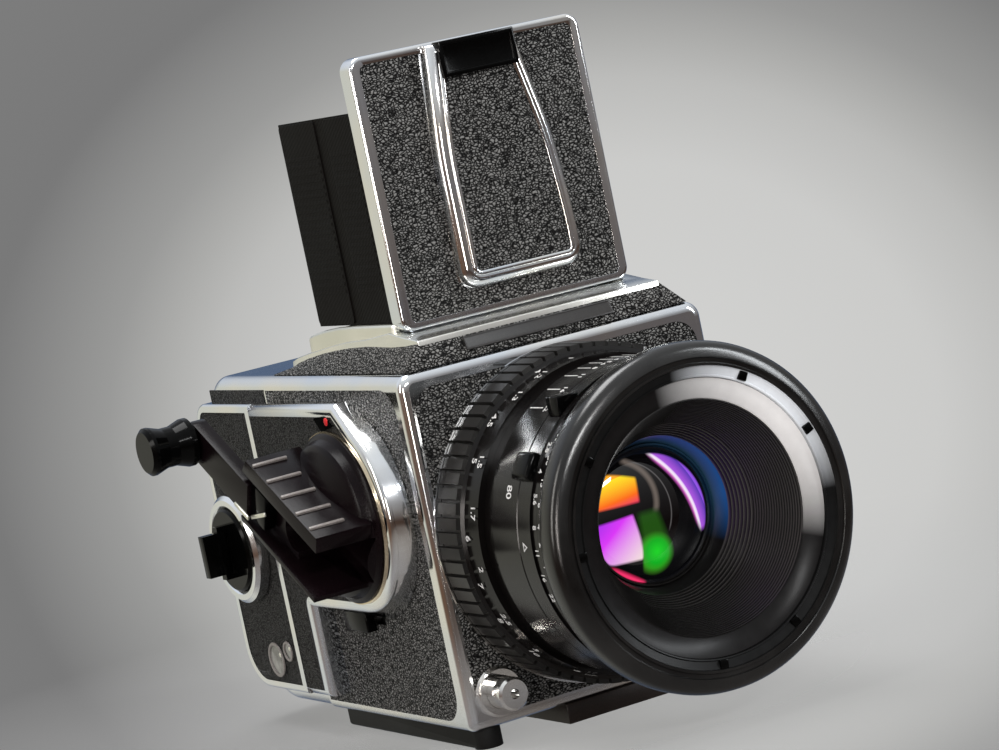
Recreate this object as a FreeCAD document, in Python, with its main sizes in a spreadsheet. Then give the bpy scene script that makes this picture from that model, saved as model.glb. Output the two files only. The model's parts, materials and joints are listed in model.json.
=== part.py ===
# Medium format film camera, millimetres.
# The part stands on its two foot rails on z = 0. The tripod socket opens at the origin.
# +X is the viewer's right from the front, the lens looks towards -Y, the film magazine is at +Y.
import FreeCAD, Part
import Sketcher
import math
import os

doc = FreeCAD.newDocument("film_camera")
sheet = doc.addObject("Spreadsheet::Sheet", "sizes")

# Every size of the camera that can be set on its own.
sizes = {
    # body
    "body_width": 86, "body_height": 88.4, "body_depth": 80, "foot_height": 5, "socket_setback": 36,
    "wall": 2, "front_wall": 3, "rim": 3, "side_rim": 2.6, "side_rim_front": 4.6, "side_rim_top": 3.3,
    "top_round": 4, "edge_round": 1, "body_round": 2.4,
    "leather_depth": 0.8, "leather_thickness": 0.6, "leather_round": 3.5,
    "front_leather_round": 5.8, "side_leather_round": 7,
    "lens_height": 49.8, "mount_bore": 29, "land_radius": 34,
    # casing on the crank side
    "casing_rise": 5.6, "casing_drop": 5.8, "casing_radius": 24.8, "casing_corner_y": -7,
    "casing_rim": 3, "bar_front": 30, "bar_bottom": 10.5, "bar_fillet": 2,
    "crank_y": -1.4, "crank_drop": 28.4, "running_gap": 0.05,
    # mirror box, screen, mirror and flaps
    "box_half_width": 33, "box_wall": 1.5, "box_floor": 17.8, "screen_side": 54, "screen_y": 3.8,
    "gate_side": 56, "gate_wall": 3, "mirror_length": 62, "mirror_foot": 1, "mirror_width": 56,
    "mirror_thickness": 1.5,
    "mirror_frame_thickness": 1.6, "mirror_pivot_y": 36.5, "mirror_pivot_drop": 10.4, "pivot_radius": 1.2,
    "flap_thickness": 0.8, "flap_pivot_gap": 1.3, "flap_y": 39.6, "flap_barrel": 0.9,
    # underside
    "plate_half_width": 16, "small_socket_radius": 3.175, "large_socket_radius": 4.7625,
    "socket_depth": 4.2, "large_socket_y": 20, "foot_inner": 33, "foot_width": 7,
    # side fittings
    "rail_width": 18, "rail_rise": 3, "rail_z": 62, "rail_front": -14, "rail_back": 24,
    # release and lock buttons
    "release_inset": 9, "release_height": 13.5, "release_radius": 4.1, "release_reach": 9,
    "release_travel": 2.5, "cable_radius": 1.2, "cable_depth": 5, "collar_radius": 6.2, "collar_rise": 2.2,
    "lock_inset": 8, "lock_radius": 3, "lock_reach": 4,
    "slider_y": 5.5, "slider_length": 13, "slider_drop": 3.4, "slider_width": 5.2, "slider_rise": 2.6,
    # crank
    "crank_angle": 30, "rim_radius": 22, "rim_rise": 0.6, "hub_radius": 21.7, "hub_top": 6.5,
    "hub_top_radius": 17, "bar_half_low": 8, "bar_half_high": 10.8, "bar_reach": 21, "bar_height": 18,
    "moon_height": 8, "slot_half": 6.6, "slot_floor": 13.6, "arm_pivot": 19, "arm_height": 16.5,
    "arm_thickness": 4, "arm_length": 28, "arm_half_width": 4.8, "knob_radius": 6.2, "knob_length": 13.4,
    "knob_post": 2, "crank_shaft": 4, "crank_pin": 1.2,
    # gear train, one module for all
    "gear_inset": 3, "gear_width": 3, "gear_low": 14, "gear_poke": 0.2,
    "crank_teeth": 44, "idler_teeth": 48, "output_teeth": 12, "gear_pin": 1.6,
    # magazine
    "magazine_depth": 38, "magazine_round_low": 14, "magazine_round_high": 8, "magazine_round": 4,
    "slide_gap_y": 1.2, "slide_thickness": 0.5, "slide_width": 61, "slide_height": 63,
    "insert_front": 2.5, "insert_back": 5, "insert_low": 12.7, "insert_drop": 2.2, "insert_round": 9,
    "insert_gap": 0.1, "insert_thickness": 2.6, "cheek_gap": 8.6, "cheek_thickness": 1.6,
    "pressure_y": 4, "pressure_thickness": 1.2, "spool_y": 18, "spool_length": 65, "spool_flange": 12.4,
    "spool_core": 5.7, "spool_bore": 2.5, "feed_height": 34, "take_up_height": 68, "film_radius": 10.8,
    "key_y": 65.2, "key_height": 49.1, "key_ring_radius": 14.5, "key_ring_rise": 3.7, "key_radius": 11.2,
    "key_rise": 4.4, "key_shaft": 3, "wing_half": 5.6, "wing_height": 7.3, "wing_thickness": 3,
    "window_y": 59.7, "window_height": 18.7, "window_radius": 4.5, "window_small_y": 51.2,
    "window_small_height": 21.5, "window_small_radius": 2.5,
    "latch_y": 62, "latch_length": 20, "latch_half": 7, "latch_height": 3.6, "latch_travel": 3,
    # finder
    "plinth_height": 6.6, "plinth_half_low": 40, "plinth_half_high": 34, "plinth_top_back": 23,
    "plinth_top_front": -32, "lip": 0.8, "base_half": 33.2, "base_front": -24, "base_back": 30,
    "base_wall": 1.6, "base_rise": 10.8, "deck_rise": 7.9,
    "lid_front": -22.9, "lid_thickness": 5.5, "lid_half": 32.4, "lid_rise": 8.1, "lid_height": 67.8,
    "lid_round": 3.5, "lid_wall": 1.5, "lid_rim": 2.7, "lid_rim_low": 2.1, "bead": 1,
    "tongue_rise": 3.8, "tongue_flank": 3.3, "tongue_low": 6.7, "tongue_mid": 40.5, "tongue_high": 52.5,
    "tongue_top": 65.5, "tongue_left": 15.1, "tongue_left_top": 13.2, "tongue_right": 19.7,
    "tongue_right_mid": 18.1, "tongue_right_high": 15.6, "tongue_right_top": 12.6, "tongue_corner": 2.6,
    "catch_x": 0.4, "catch_half": 10.5, "catch_drop": 9.3, "catch_length": 9, "catch_rise": 1.6,
    "catch_travel": 2,
    "leaf_x": 31.6, "leaf_thickness": 0.6, "leaf_drop": 14.3, "leaf_gap": 0.2, "leaf_back": 21,
    "back_leaf_drop": 19.3,
    "magnifier_radius": 12, "magnifier_ring": 1.8, "magnifier_reach": 17, "magnifier_thickness": 2.6,
    "magnifier_inset": 1.4, "magnifier_pin": 0.8, "magnifier_pivot_rise": 6.1,
    # lens, depths are measured forwards from the front face
    "flange_radius": 42, "flange_depth": 0.5, "tube_radius": 27, "tube_wall": 2.5, "tube_length": 6,
    "core_radius": 34, "grip_start": 0.7, "grip_end": 10.5, "grip_radius": 41.5, "grip_root": 40.3,
    "pad_count": 72, "scale_end": 16.5, "scale_radius": 39.5, "groove_end": 22.5, "groove_radius": 37,
    "barrel_end": 34.5, "barrel_radius": 38, "index_end": 41, "inner_radius": 33, "ring_radius": 37.5,
    "ring_split": 43.5, "ring_end": 46, "front_waist": 37.5, "front_bulge": 41, "bulge_start": 51,
    "bulge_end": 55, "front_end": 58, "mouth_radius": 32.5, "name_inner": 26, "cone_radius": 20.5,
    "cone_depth": 45, "glass_radius": 16.6, "glass_depth": 34, "glass_dome": 4.5, "bore_radius": 24,
    "iris_depth": 18, "iris_opening": 13, "rear_glass_radius": 17, "rear_glass_depth": 3,
    "tab_depth": 38, "tab_length": 6, "tab_top": 84,
}
for row, (name, number) in enumerate(sizes.items(), 1):
    sheet.set(f"A{row}", name)
    sheet.set(f"B{row}", str(number))
    sheet.setAlias(f"B{row}", name)
doc.recompute()


# A size keeps the words of its expression beside its present number.
class Size:
    def __init__(self, words, number):
        self.words = words
        self.number = number

    def __add__(self, other):
        other = size_of(other)
        return Size(f"({self.words} + {other.words})", self.number + other.number)

    def __radd__(self, other):
        return size_of(other) + self

    def __sub__(self, other):
        other = size_of(other)
        return Size(f"({self.words} - {other.words})", self.number - other.number)

    def __rsub__(self, other):
        return size_of(other) - self

    def __mul__(self, other):
        other = size_of(other)
        return Size(f"({self.words} * {other.words})", self.number * other.number)

    def __rmul__(self, other):
        return size_of(other) * self

    def __truediv__(self, other):
        other = size_of(other)
        return Size(f"({self.words} / {other.words})", self.number / other.number)

    def __neg__(self):
        return Size(f"(0 - {self.words})", -self.number)

    def __float__(self):
        return float(self.number)


def size_of(item):
    return item if isinstance(item, Size) else Size(f"{item:g}" if item >= 0 else f"(0 - {-item:g})",
                                                    float(item))


class Named:
    def __getattr__(self, name):
        return Size("sizes." + name, float(sheet.get(name)))


c = Named()
V = FreeCAD.Vector
Turn = FreeCAD.Rotation


def bind(item, field, size):
    item.setExpression(field, size_of(size).words)


def box(name, x, y, z):
    item = doc.addObject("Part::Box", name)
    for side, base, span in (("Length", "x", x), ("Width", "y", y), ("Height", "z", z)):
        bind(item, side, span[1] - span[0])
        bind(item, "Placement.Base." + base, span[0])
    return item


along_axis = {"x": Turn(V(0, 1, 0), 90), "y": Turn(V(1, 0, 0), -90), "z": Turn()}


# A round bar along one axis; the centre gives the two other coordinates in order.
def rod(name, along, centre, radius, span):
    item = doc.addObject("Part::Cylinder", name)
    item.Placement = FreeCAD.Placement(V(), along_axis[along])
    bind(item, "Radius", radius)
    bind(item, "Height", span[1] - span[0])
    bind(item, "Placement.Base." + along, span[0])
    for base, place in zip([word for word in "xyz" if word != along], centre):
        bind(item, "Placement.Base." + base, place)
    return item


def fuse(name, *items):
    if len(items) == 1:
        return items[0]
    item = doc.addObject("Part::MultiFuse", name)
    item.Shapes = list(items)
    item.Refine = True
    return item


def cut(name, base, *tools):
    item = doc.addObject("Part::Cut", name)
    item.Base = base
    item.Tool = fuse(name + "_tools", *tools)
    return item


def common(name, first, second):
    item = doc.addObject("Part::Common", name)
    item.Base = first
    item.Tool = second
    return item


# Rounds the edges that the test picks by their middle and direction.
def rounded(name, base, radius, picks):
    doc.recompute()
    item = doc.addObject("Part::Fillet", name)
    item.Base = base
    chosen = []
    for place, edge in enumerate(base.Shape.Edges, 1):
        middle = edge.valueAt((edge.FirstParameter + edge.LastParameter) / 2)
        run = (edge.Vertexes[-1].Point - edge.Vertexes[0].Point) if len(edge.Vertexes) > 1 else V()
        way = "xyz"[max(range(3), key=lambda axis: abs(run[axis]))] if run.Length > 0 else ""
        if picks(middle, way):
            chosen.append((place, float(radius), float(radius)))
    item.Edges = chosen
    return item


facing = {"-y": Turn(V(1, 0, 0), 180), "y": Turn(), "-x": Turn(V(0, 0, 1), 90),
          "x": Turn(V(0, 0, 1), -90), "z": Turn(V(1, 0, 0), 90)}


def flat_sketch(body, name, points):
    plane = [item for item in body.Origin.OriginFeatures if item.Role == "XY_Plane"][0]
    sketch = body.newObject("Sketcher::SketchObject", name)
    sketch.AttachmentSupport = [(plane, "")]
    sketch.MapMode = "FlatFace"
    places = [(float(size_of(x)), float(size_of(y))) for x, y in points]
    count = len(places)
    for i in range(count):
        start, end = places[i], places[(i + 1) % count]
        sketch.addGeometry(Part.LineSegment(V(start[0], start[1], 0), V(end[0], end[1], 0)), False)
    for i in range(count):
        sketch.addConstraint(Sketcher.Constraint("Coincident", i, 2, (i + 1) % count, 1))
    for i in range(count):
        for kind, number, size, axis in (("DistanceX", places[i][0], points[i][0], -2),
                                         ("DistanceY", places[i][1], points[i][1], -1)):
            if abs(number) < 1e-9:
                sketch.addConstraint(Sketcher.Constraint("PointOnObject", i, 1, axis))
            else:
                at = sketch.addConstraint(Sketcher.Constraint(kind, -1, 1, i, 1, number))
                bind(sketch, f"Constraints[{at}]", size)
    return sketch


def placed(body, way, centre):
    body.Placement = FreeCAD.Placement(V(), facing[way])
    for base, place in zip("xyz", centre):
        bind(body, "Placement.Base." + base, place)


# A turned piece from (radius, height) points round its own axis.
def turned(name, points, way, centre):
    body = doc.addObject("PartDesign::Body", name)
    sketch = flat_sketch(body, name + "_profile", points)
    item = body.newObject("PartDesign::Revolution", name + "_turn")
    item.Profile = (sketch, [""])
    item.ReferenceAxis = (sketch, ["V_Axis"])
    item.Angle = 360
    placed(body, way, centre)
    return body


# A straight piece of one outline; x and y of the outline run in the sketch, z is its thickness.
def slab(name, points, thickness, turn, centre):
    body = doc.addObject("PartDesign::Body", name)
    sketch = flat_sketch(body, name + "_outline", points)
    item = body.newObject("PartDesign::Pad", name + "_pad")
    item.Profile = (sketch, [""])
    bind(item, "Length", thickness)
    body.Placement = FreeCAD.Placement(V(), turn)
    for base, place in zip("xyz", centre):
        bind(body, "Placement.Base." + base, place)
    return body


def plain(name, shape):
    item = doc.addObject("Part::Feature", name)
    item.Shape = shape
    return item


pieces = {}


def piece(name, item):
    item.Label = name
    pieces[name] = item
    return item


half = c.body_width / 2
front = -c.socket_setback
back = c.body_depth - c.socket_setback
low = c.foot_height
top = c.foot_height + c.body_height
side = -half - c.casing_rise
rear = back + c.magazine_depth
casing_top = top - c.casing_drop
crank_height = casing_top - c.crank_drop
slider_height = crank_height - c.casing_radius - c.slider_drop
release_x = c.release_inset - half
lock_x = half - c.lock_inset
gap = c.running_gap
ground = c.leather_depth
skin = c.leather_depth - c.leather_thickness
nought = size_of(0)


# Outline of the raised casing with its round front, seen from the side.
def casing_face(inset):
    y, z, r = float(c.crank_y), float(crank_height), float(c.casing_radius)
    corner = V(0, float(c.casing_corner_y), float(casing_top))
    middle = V(0, y, z)
    reach = (corner - middle).Length
    lean = math.atan2(corner.z - z, corner.y - y) + math.acos(min(1, r / reach))
    touch = V(0, y + r * math.cos(lean), z + r * math.sin(lean))
    foot = V(0, y, z - r)
    half_way = (lean + 1.5 * math.pi) / 2
    belly = V(0, y + r * math.cos(half_way), z + r * math.sin(half_way))
    end = float(back)
    bend = V(0, float(c.bar_front), z - r)
    base = V(0, float(c.bar_front), float(c.bar_bottom))
    tail = V(0, end, float(c.bar_bottom))
    roof = V(0, end, float(casing_top))
    edges = [Part.LineSegment(roof, corner).toShape(), Part.LineSegment(corner, touch).toShape(),
             Part.Arc(touch, belly, foot).toShape(), Part.LineSegment(foot, bend).toShape(),
             Part.LineSegment(bend, base).toShape(), Part.LineSegment(base, tail).toShape(),
             Part.LineSegment(tail, roof).toShape()]
    face = Part.Face(Part.Wire(edges))
    if not inset:
        return face
    face = face.makeOffset2D(-inset)
    return face


# The inlay stops at the rear end of the body, not short of it.
def casing_inlay(x_start, x_end):
    inset = float(c.casing_rim)
    face = casing_face(inset)
    solid = face.extrude(V(x_end - x_start, 0, 0))
    solid.translate(V(x_start, 0, 0))
    end = float(back)
    strip = Part.makeBox(x_end - x_start, inset + 1, float(casing_top) - float(c.bar_bottom) - 1.6 * inset,
                         V(x_start, end - inset - 1, float(c.bar_bottom) + 0.6 * inset))
    lower = Part.makeBox(x_end - x_start, end - float(c.bar_front) - inset, 0.5 * inset,
                         V(x_start, float(c.bar_front) + inset, float(c.bar_bottom) + 0.6 * inset))
    return solid.fuse([strip, lower]).removeSplitter()


def toothed(name, count, tip, root, shares, phase, hole, way, centre, start, end):
    points = []
    pitch = 2 * math.pi / count
    for i in range(count):
        middle = phase + i * pitch
        for turn, radius in ((-shares[0], root), (-shares[1], tip), (shares[1], tip), (shares[0], root)):
            angle = middle + turn * pitch
            points.append((radius * math.cos(angle), radius * math.sin(angle)))
    if way == "x":
        corners = [V(start, centre[0] + a, centre[1] + b) for a, b in points]
        reach, axis, base = V(end - start, 0, 0), V(1, 0, 0), V(start, centre[0], centre[1])
    else:
        corners = [V(centre[0] + a, start, centre[1] + b) for a, b in points]
        reach, axis, base = V(0, end - start, 0), V(0, 1, 0), V(centre[0], start, centre[1])
    solid = Part.Face(Part.makePolygon(corners + corners[:1])).extrude(reach)
    if hole:
        solid = solid.cut(Part.makeCylinder(hole, reach.Length, base, axis if reach * axis > 0 else -axis))
    return plain(name, solid)


# Body shell: one box, open at the back, with its land for the lens and the places of the leather.
shell_block = box("shell_block", (-half, half), (front, back), (low, top))
shell_soft = rounded("shell_soft", shell_block, c.top_round,
                     lambda at, way: way == "y" and at.z > float(top) - 1)
shell_round = rounded("shell_round", shell_soft, c.body_round,
                      lambda at, way: at.y < float(front) + 0.1 or (way == "y" and at.z < float(low) + 0.1))
shell_hollow = box("shell_hollow", (-half + c.wall, half - c.wall), (front + c.front_wall, back + 1),
                   (low + c.wall, top - c.wall))
screen_hole = box("screen_hole", (-c.screen_side / 2, c.screen_side / 2),
                  (c.screen_y - c.screen_side / 2, c.screen_y + c.screen_side / 2),
                  (top - c.wall - 1, top + 1))
lens_hole = rod("lens_hole", "y", (0, c.lens_height), c.tube_radius, (front - 1, front + c.front_wall + 1))


def leather_block(name, depth_in, depth_out, way):
    if way == "front":
        block = box(name + "_block", (-half + c.rim, half - c.rim), (front + depth_out, front + depth_in),
                    (low + c.rim, top - c.rim - 1))
        return rounded(name, block, c.front_leather_round, lambda at, run: run == "y")
    spans = {"right": (half - depth_in, half - depth_out), "left": (-half + depth_out, -half + depth_in)}
    block = box(name + "_block", spans[way], (front + c.side_rim_front, back - 0.6),
                (low + c.side_rim, top - c.side_rim_top))
    return rounded(name, block, c.side_leather_round, lambda at, run: run == "x" and at.y < 0)


casing_solid = plain("casing_solid", casing_face(0).extrude(V(float(c.casing_rise) + 3, 0, 0)))
casing_solid.Placement = FreeCAD.Placement(V(float(side), 0, 0), Turn())
front_place = leather_block("front_place", ground, -1, "front")
right_place = leather_block("right_place", ground, -1, "right")
left_place = cut("left_place", leather_block("left_place_whole", ground, -1, "left"), casing_solid)
land = rod("land", "y", (0, c.lens_height), c.land_radius, (front - 2, front + 3))
collar_land = rod("collar_land", "y", (release_x, c.release_height), c.collar_radius, (front - 2, front + 3))
lock_land = rod("lock_land", "y", (lock_x, c.release_height), c.lock_radius + 1.2, (front - 2, front + 3))
front_pocket = cut("front_pocket", front_place, fuse("lands", land, collar_land, lock_land))
release_hole = rod("release_hole", "y", (release_x, c.release_height), c.release_radius + gap,
                   (front - 1, front + c.front_wall + 1))
lock_hole = rod("lock_hole", "y", (lock_x, c.release_height), c.lock_radius + gap,
                (front - 1, front + c.front_wall + 1))
shaft_hole = rod("shaft_hole", "x", (c.crank_y, crank_height), c.crank_shaft + gap,
                 (-half - 1, -half + c.wall + 1))
slider_slot = box("slider_slot", (-half - 1, -half + c.wall + 1),
                  (c.slider_y - c.slider_length / 2 + 1, c.slider_y + c.slider_length + 2),
                  (slider_height - 1.05, slider_height + 1.05))
pin_reach = (-half + c.wall, -half + c.gear_inset + c.gear_width + 0.4)

# The gears stand in one line from the crank to the rear wall, so their module follows from it.
output_y = back + c.gear_poke
teeth_sum = c.crank_teeth / 2 + c.idler_teeth + c.output_teeth / 2


def gear_layout():
    y0, z0 = float(c.crank_y), float(crank_height)
    z1 = float(c.gear_low)
    reach = float(output_y)
    module = 0.8
    for step in range(40):
        y1 = reach - module * (float(c.output_teeth) / 2 + 0.85)
        module = math.hypot(y1 - y0, z1 - z0) / float(teeth_sum)
    way = math.atan2(z1 - z0, y1 - y0)
    span = module * (float(c.crank_teeth) + float(c.idler_teeth)) / 2
    return module, way, (y0 + span * math.cos(way), z0 + span * math.sin(way)), (y1, z1)


module, gear_way, idler_at, output_at = gear_layout()
magazine_gear_at = (output_at[0] + module * float(c.output_teeth), output_at[1])
pin_span = [float(item) for item in pin_reach]
idler_pin = plain("idler_pin", Part.makeCylinder(float(c.gear_pin), pin_span[1] - pin_span[0],
                                                 V(pin_span[0], idler_at[0], idler_at[1]), V(1, 0, 0)))
output_pin = plain("output_pin", Part.makeCylinder(float(c.gear_pin), pin_span[1] - pin_span[0],
                                                   V(pin_span[0], output_at[0], output_at[1]), V(1, 0, 0)))
shell_cut = cut("shell_cut", shell_round, shell_hollow, screen_hole, lens_hole, front_pocket, right_place,
                left_place, release_hole, lock_hole, shaft_hole, slider_slot)
piece("body_shell", fuse("shell", shell_cut, idler_pin, output_pin))

# Leather of the front and both sides, in one set.
front_leather = cut("front_leather", leather_block("front_sheet", ground, skin, "front"),
                    rod("land_b", "y", (0, c.lens_height), c.land_radius, (front - 2, front + 3)),
                    rod("collar_land_b", "y", (release_x, c.release_height), c.collar_radius,
                        (front - 2, front + 3)),
                    rod("lock_land_b", "y", (lock_x, c.release_height), c.lock_radius + 1.2,
                        (front - 2, front + 3)))
casing_again = plain("casing_again", casing_face(0).extrude(V(float(c.casing_rise) + 3, 0, 0)))
casing_again.Placement = FreeCAD.Placement(V(float(side), 0, 0), Turn())
slider_clear = box("slider_clear", (-half - 1, -half + 2),
                   (c.slider_y - c.slider_length / 2 + 1, c.slider_y + c.slider_length + 2),
                   (slider_height - 1.05, slider_height + 1.05))
left_leather = cut("left_leather", leather_block("left_sheet", ground, skin, "left"), casing_again,
                   slider_clear)
right_leather = leather_block("right_sheet", ground, skin, "right")
doc.recompute()
body_leather = doc.addObject("Part::Compound", "leather_set")
body_leather.Links = [front_leather, left_leather, right_leather]
piece("body_leather", body_leather)

# Raised casing under the crank and its inlay.
casing_plate = plain("casing_plate", casing_face(0).extrude(V(float(c.casing_rise), 0, 0)))
casing_plate.Placement = FreeCAD.Placement(V(float(side), 0, 0), Turn())
casing_soft = rounded("casing_soft", casing_plate, c.bar_fillet,
                      lambda at, way: at.x < float(side) + 0.01 and at.y < float(back) - 0.01)
inlay_pocket = plain("inlay_pocket", casing_inlay(float(side) - 1, float(side) + float(ground)))
casing_bore = rod("casing_bore", "x", (c.crank_y, crank_height), c.crank_shaft + gap, (side - 1, -half + 1))
piece("side_casing", cut("casing", casing_soft, inlay_pocket, casing_bore))
inlay_sheet = plain("inlay_sheet", casing_inlay(float(side) + float(skin), float(side) + float(ground)))
inlay_hole = rod("inlay_hole", "x", (c.crank_y, crank_height), c.hub_top_radius, (side - 1, -half + 1))
piece("casing_leather", cut("casing_inlay", inlay_sheet, inlay_hole))

# Mirror box with the front opening, the screen frame and the pivots' bores.
mirror_pivot_height = top - c.mirror_pivot_drop
box_inner = c.box_half_width - c.box_wall
mirror_block = box("mirror_block", (-c.box_half_width, c.box_half_width),
                   (front + c.front_wall, back - c.gate_wall),
                   (c.box_floor, top - c.wall))
mirror_hollow = box("mirror_hollow", (-box_inner, box_inner),
                    (front + c.front_wall + c.box_wall, back - c.gate_wall + 1),
                    (c.box_floor + c.box_wall, top - c.wall - c.box_wall))
mirror_window = rod("mirror_window", "y", (0, c.lens_height), c.tube_radius,
                    (front + c.front_wall - 1, front + c.front_wall + c.box_wall + 1))
screen_frame = box("screen_frame", (-c.screen_side / 2 + 2, c.screen_side / 2 - 2),
                   (c.screen_y - c.screen_side / 2 + 2, c.screen_y + c.screen_side / 2 - 2),
                   (top - c.wall - c.box_wall - 1, top - c.wall + 1))
mirror_bore = rod("mirror_bore", "x", (c.mirror_pivot_y, mirror_pivot_height), c.pivot_radius + gap,
                  (-c.box_half_width - 1, c.box_half_width + 1))
upper_pivot_z = c.lens_height + c.gate_side / 2 + c.flap_pivot_gap
lower_pivot_z = c.lens_height - c.gate_side / 2 - c.flap_pivot_gap
upper_bore = rod("upper_bore", "x", (c.flap_y, upper_pivot_z), c.flap_barrel + gap,
                 (-c.box_half_width - 1, c.box_half_width + 1))
lower_bore = rod("lower_bore", "x", (c.flap_y, lower_pivot_z), c.flap_barrel + gap,
                 (-c.box_half_width - 1, c.box_half_width + 1))
piece("mirror_box", cut("mirror_case", mirror_block, mirror_hollow, mirror_window, screen_frame, mirror_bore,
                        upper_bore, lower_bore))
piece("focusing_screen", box("screen", (-c.screen_side / 2, c.screen_side / 2),
                             (c.screen_y - c.screen_side / 2, c.screen_y + c.screen_side / 2),
                             (top - c.wall, top)))
gate_plate = box("gate_plate", (-half + c.wall, half - c.wall), (back - c.gate_wall, back),
                 (low + c.wall, top - c.wall))
gate_hole = box("gate_hole", (-c.gate_side / 2, c.gate_side / 2), (back - c.gate_wall - 1, back + 1),
                (c.lens_height - c.gate_side / 2, c.lens_height + c.gate_side / 2))
gear_slot = box("gear_slot", (-half + c.wall, -half + c.gear_inset + c.gear_width + 1),
                (back - c.gate_wall - 1, back + 1), (low + c.wall, crank_height))
piece("rear_frame", cut("gate_frame", gate_plate, gate_hole, gear_slot))

# Mirror at rest, at half a right angle; its frame carries the pivot.
mirror_turn = Turn(V(1, 0, 0), 45)
mirror_plate = box("mirror_plate", (-c.mirror_width / 2, c.mirror_width / 2), (-c.mirror_length, nought),
                   (-c.mirror_frame_thickness, nought))
mirror_axle = rod("mirror_axle", "x", (0, 0), c.pivot_radius, (-box_inner - 1, box_inner + 1))
mirror_ears = box("mirror_ears", (-c.mirror_width / 2, c.mirror_width / 2), (-c.pivot_radius, c.pivot_radius),
                  (-c.mirror_frame_thickness, nought))
mirror_frame = fuse("mirror_base", mirror_plate, mirror_axle, mirror_ears)
mirror_frame.Placement = FreeCAD.Placement(V(), mirror_turn)
bind(mirror_frame, "Placement.Base.y", c.mirror_pivot_y)
bind(mirror_frame, "Placement.Base.z", mirror_pivot_height)
piece("mirror_frame", mirror_frame)
pane_side = c.mirror_width / 2 - 1
mirror_glass = fuse("mirror_face", *[box("mirror_pane_" + word, (-pane_side, pane_side),
                                         (c.mirror_foot - c.mirror_length, end),
                                         (nought, c.mirror_thickness))
                                     for word, end in (("whole", -c.pivot_radius - 1.5),
                                                       ("toe", 2 - c.mirror_length))])
mirror_glass.Placement = FreeCAD.Placement(V(), mirror_turn)
bind(mirror_glass, "Placement.Base.y", c.mirror_pivot_y)
bind(mirror_glass, "Placement.Base.z", mirror_pivot_height)
piece("mirror_glass", mirror_glass)

# Rear flaps that close the gate.
flap_half = c.gate_side / 2 + 1.5
upper_sheet = box("upper_sheet", (-flap_half, flap_half),
                  (c.flap_y - c.flap_thickness / 2, c.flap_y + c.flap_thickness / 2),
                  (c.lens_height + 0.1, upper_pivot_z))
upper_rod = rod("upper_rod", "x", (c.flap_y, upper_pivot_z), c.flap_barrel, (-box_inner - 1, box_inner + 1))
piece("upper_flap", fuse("upper_leaf", upper_sheet, upper_rod))
lower_sheet = box("lower_sheet", (-flap_half, flap_half),
                  (c.flap_y - c.flap_thickness / 2, c.flap_y + c.flap_thickness / 2),
                  (lower_pivot_z, c.lens_height - 0.1))
lower_rod = rod("lower_rod", "x", (c.flap_y, lower_pivot_z), c.flap_barrel, (-box_inner - 1, box_inner + 1))
piece("lower_flap", fuse("lower_leaf", lower_sheet, lower_rod))

# Underside: coupling plate with both tripod sockets, and the rails the camera stands on.
plate_block = box("plate_block", (-c.plate_half_width, c.plate_half_width), (front + 1, back - 3),
                  (nought, low))
small_socket = rod("small_socket", "z", (0, 0), c.small_socket_radius, (-1 + nought, c.socket_depth))
large_socket = rod("large_socket", "z", (0, c.large_socket_y), c.large_socket_radius,
                   (-1 + nought, c.socket_depth))
piece("base_plate", cut("plate", plate_block, small_socket, large_socket))
feet = []
for word, start in (("left", -c.foot_inner - c.foot_width), ("right", c.foot_inner)):
    foot = box("foot_" + word, (start, start + c.foot_width), (front + 5, back - 3), (nought, low))
    foot = rounded("foot_soft_" + word, foot, c.edge_round, lambda at, way: at.z < 0.01)
    nose = rod("foot_nose_" + word, "z", (start + c.foot_width / 2, front + 5.5), c.foot_width / 2,
               (nought, low))
    feet.append(fuse("foot_rail_" + word, foot, nose))
foot_set = doc.addObject("Part::Compound", "foot_set")
foot_set.Links = feet
piece("foot_rails", foot_set)

# Accessory rail on the right side.
wall_x = half - skin
rail_foot = box("rail_foot", (wall_x, wall_x + c.rail_rise / 2), (c.rail_front, c.rail_back),
                (c.rail_z - c.rail_width / 3, c.rail_z + c.rail_width / 3))
rail_head = box("rail_head", (wall_x + c.rail_rise / 2, wall_x + c.rail_rise), (c.rail_front, c.rail_back),
                (c.rail_z - c.rail_width / 2, c.rail_z + c.rail_width / 2))
piece("accessory_rail", fuse("rail", rail_foot, rail_head))

# Release button with its collar, and the button that frees the lens.
centre_release = (release_x, front, c.release_height)
bore = c.release_radius + gap
piece("release_collar", turned("collar", [(bore, nought), (c.collar_radius, nought),
                                          (c.collar_radius, c.collar_rise / 3),
                                          (c.collar_radius - 0.6, c.collar_rise / 2),
                                          (c.collar_radius - 0.6, c.collar_rise), (bore, c.collar_rise)],
                               "-y", centre_release))
piece("release_button", turned("release", [(c.cable_radius, c.release_reach - c.cable_depth),
                                           (c.cable_radius, c.release_reach),
                                           (c.release_radius - 0.6, c.release_reach),
                                           (c.release_radius, c.release_reach - 0.6),
                                           (c.release_radius, c.release_travel + 0.2),
                                           (c.release_radius, -c.front_wall - 1),
                                           (nought, -c.front_wall - 1),
                                           (nought, c.release_reach - c.cable_depth)], "-y", centre_release))
piece("lens_lock_button", turned("lock", [(nought, -c.front_wall - 1), (c.lock_radius, -c.front_wall - 1),
                                          (c.lock_radius, c.lock_reach - 0.4),
                                          (c.lock_radius - 0.4, c.lock_reach),
                                          (nought, c.lock_reach)], "-y", (lock_x, front, c.release_height)))
slider_head = box("slider_head", (-half - c.slider_rise, -half + skin - gap),
                  (c.slider_y, c.slider_y + c.slider_length),
                  (slider_height - c.slider_width / 2, slider_height + c.slider_width / 2))
slider_stem = box("slider_stem", (-half - 1, -half + c.wall + 0.5),
                  (c.slider_y + 1, c.slider_y + c.slider_length - 1),
                  (slider_height - 1, slider_height + 1))
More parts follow.
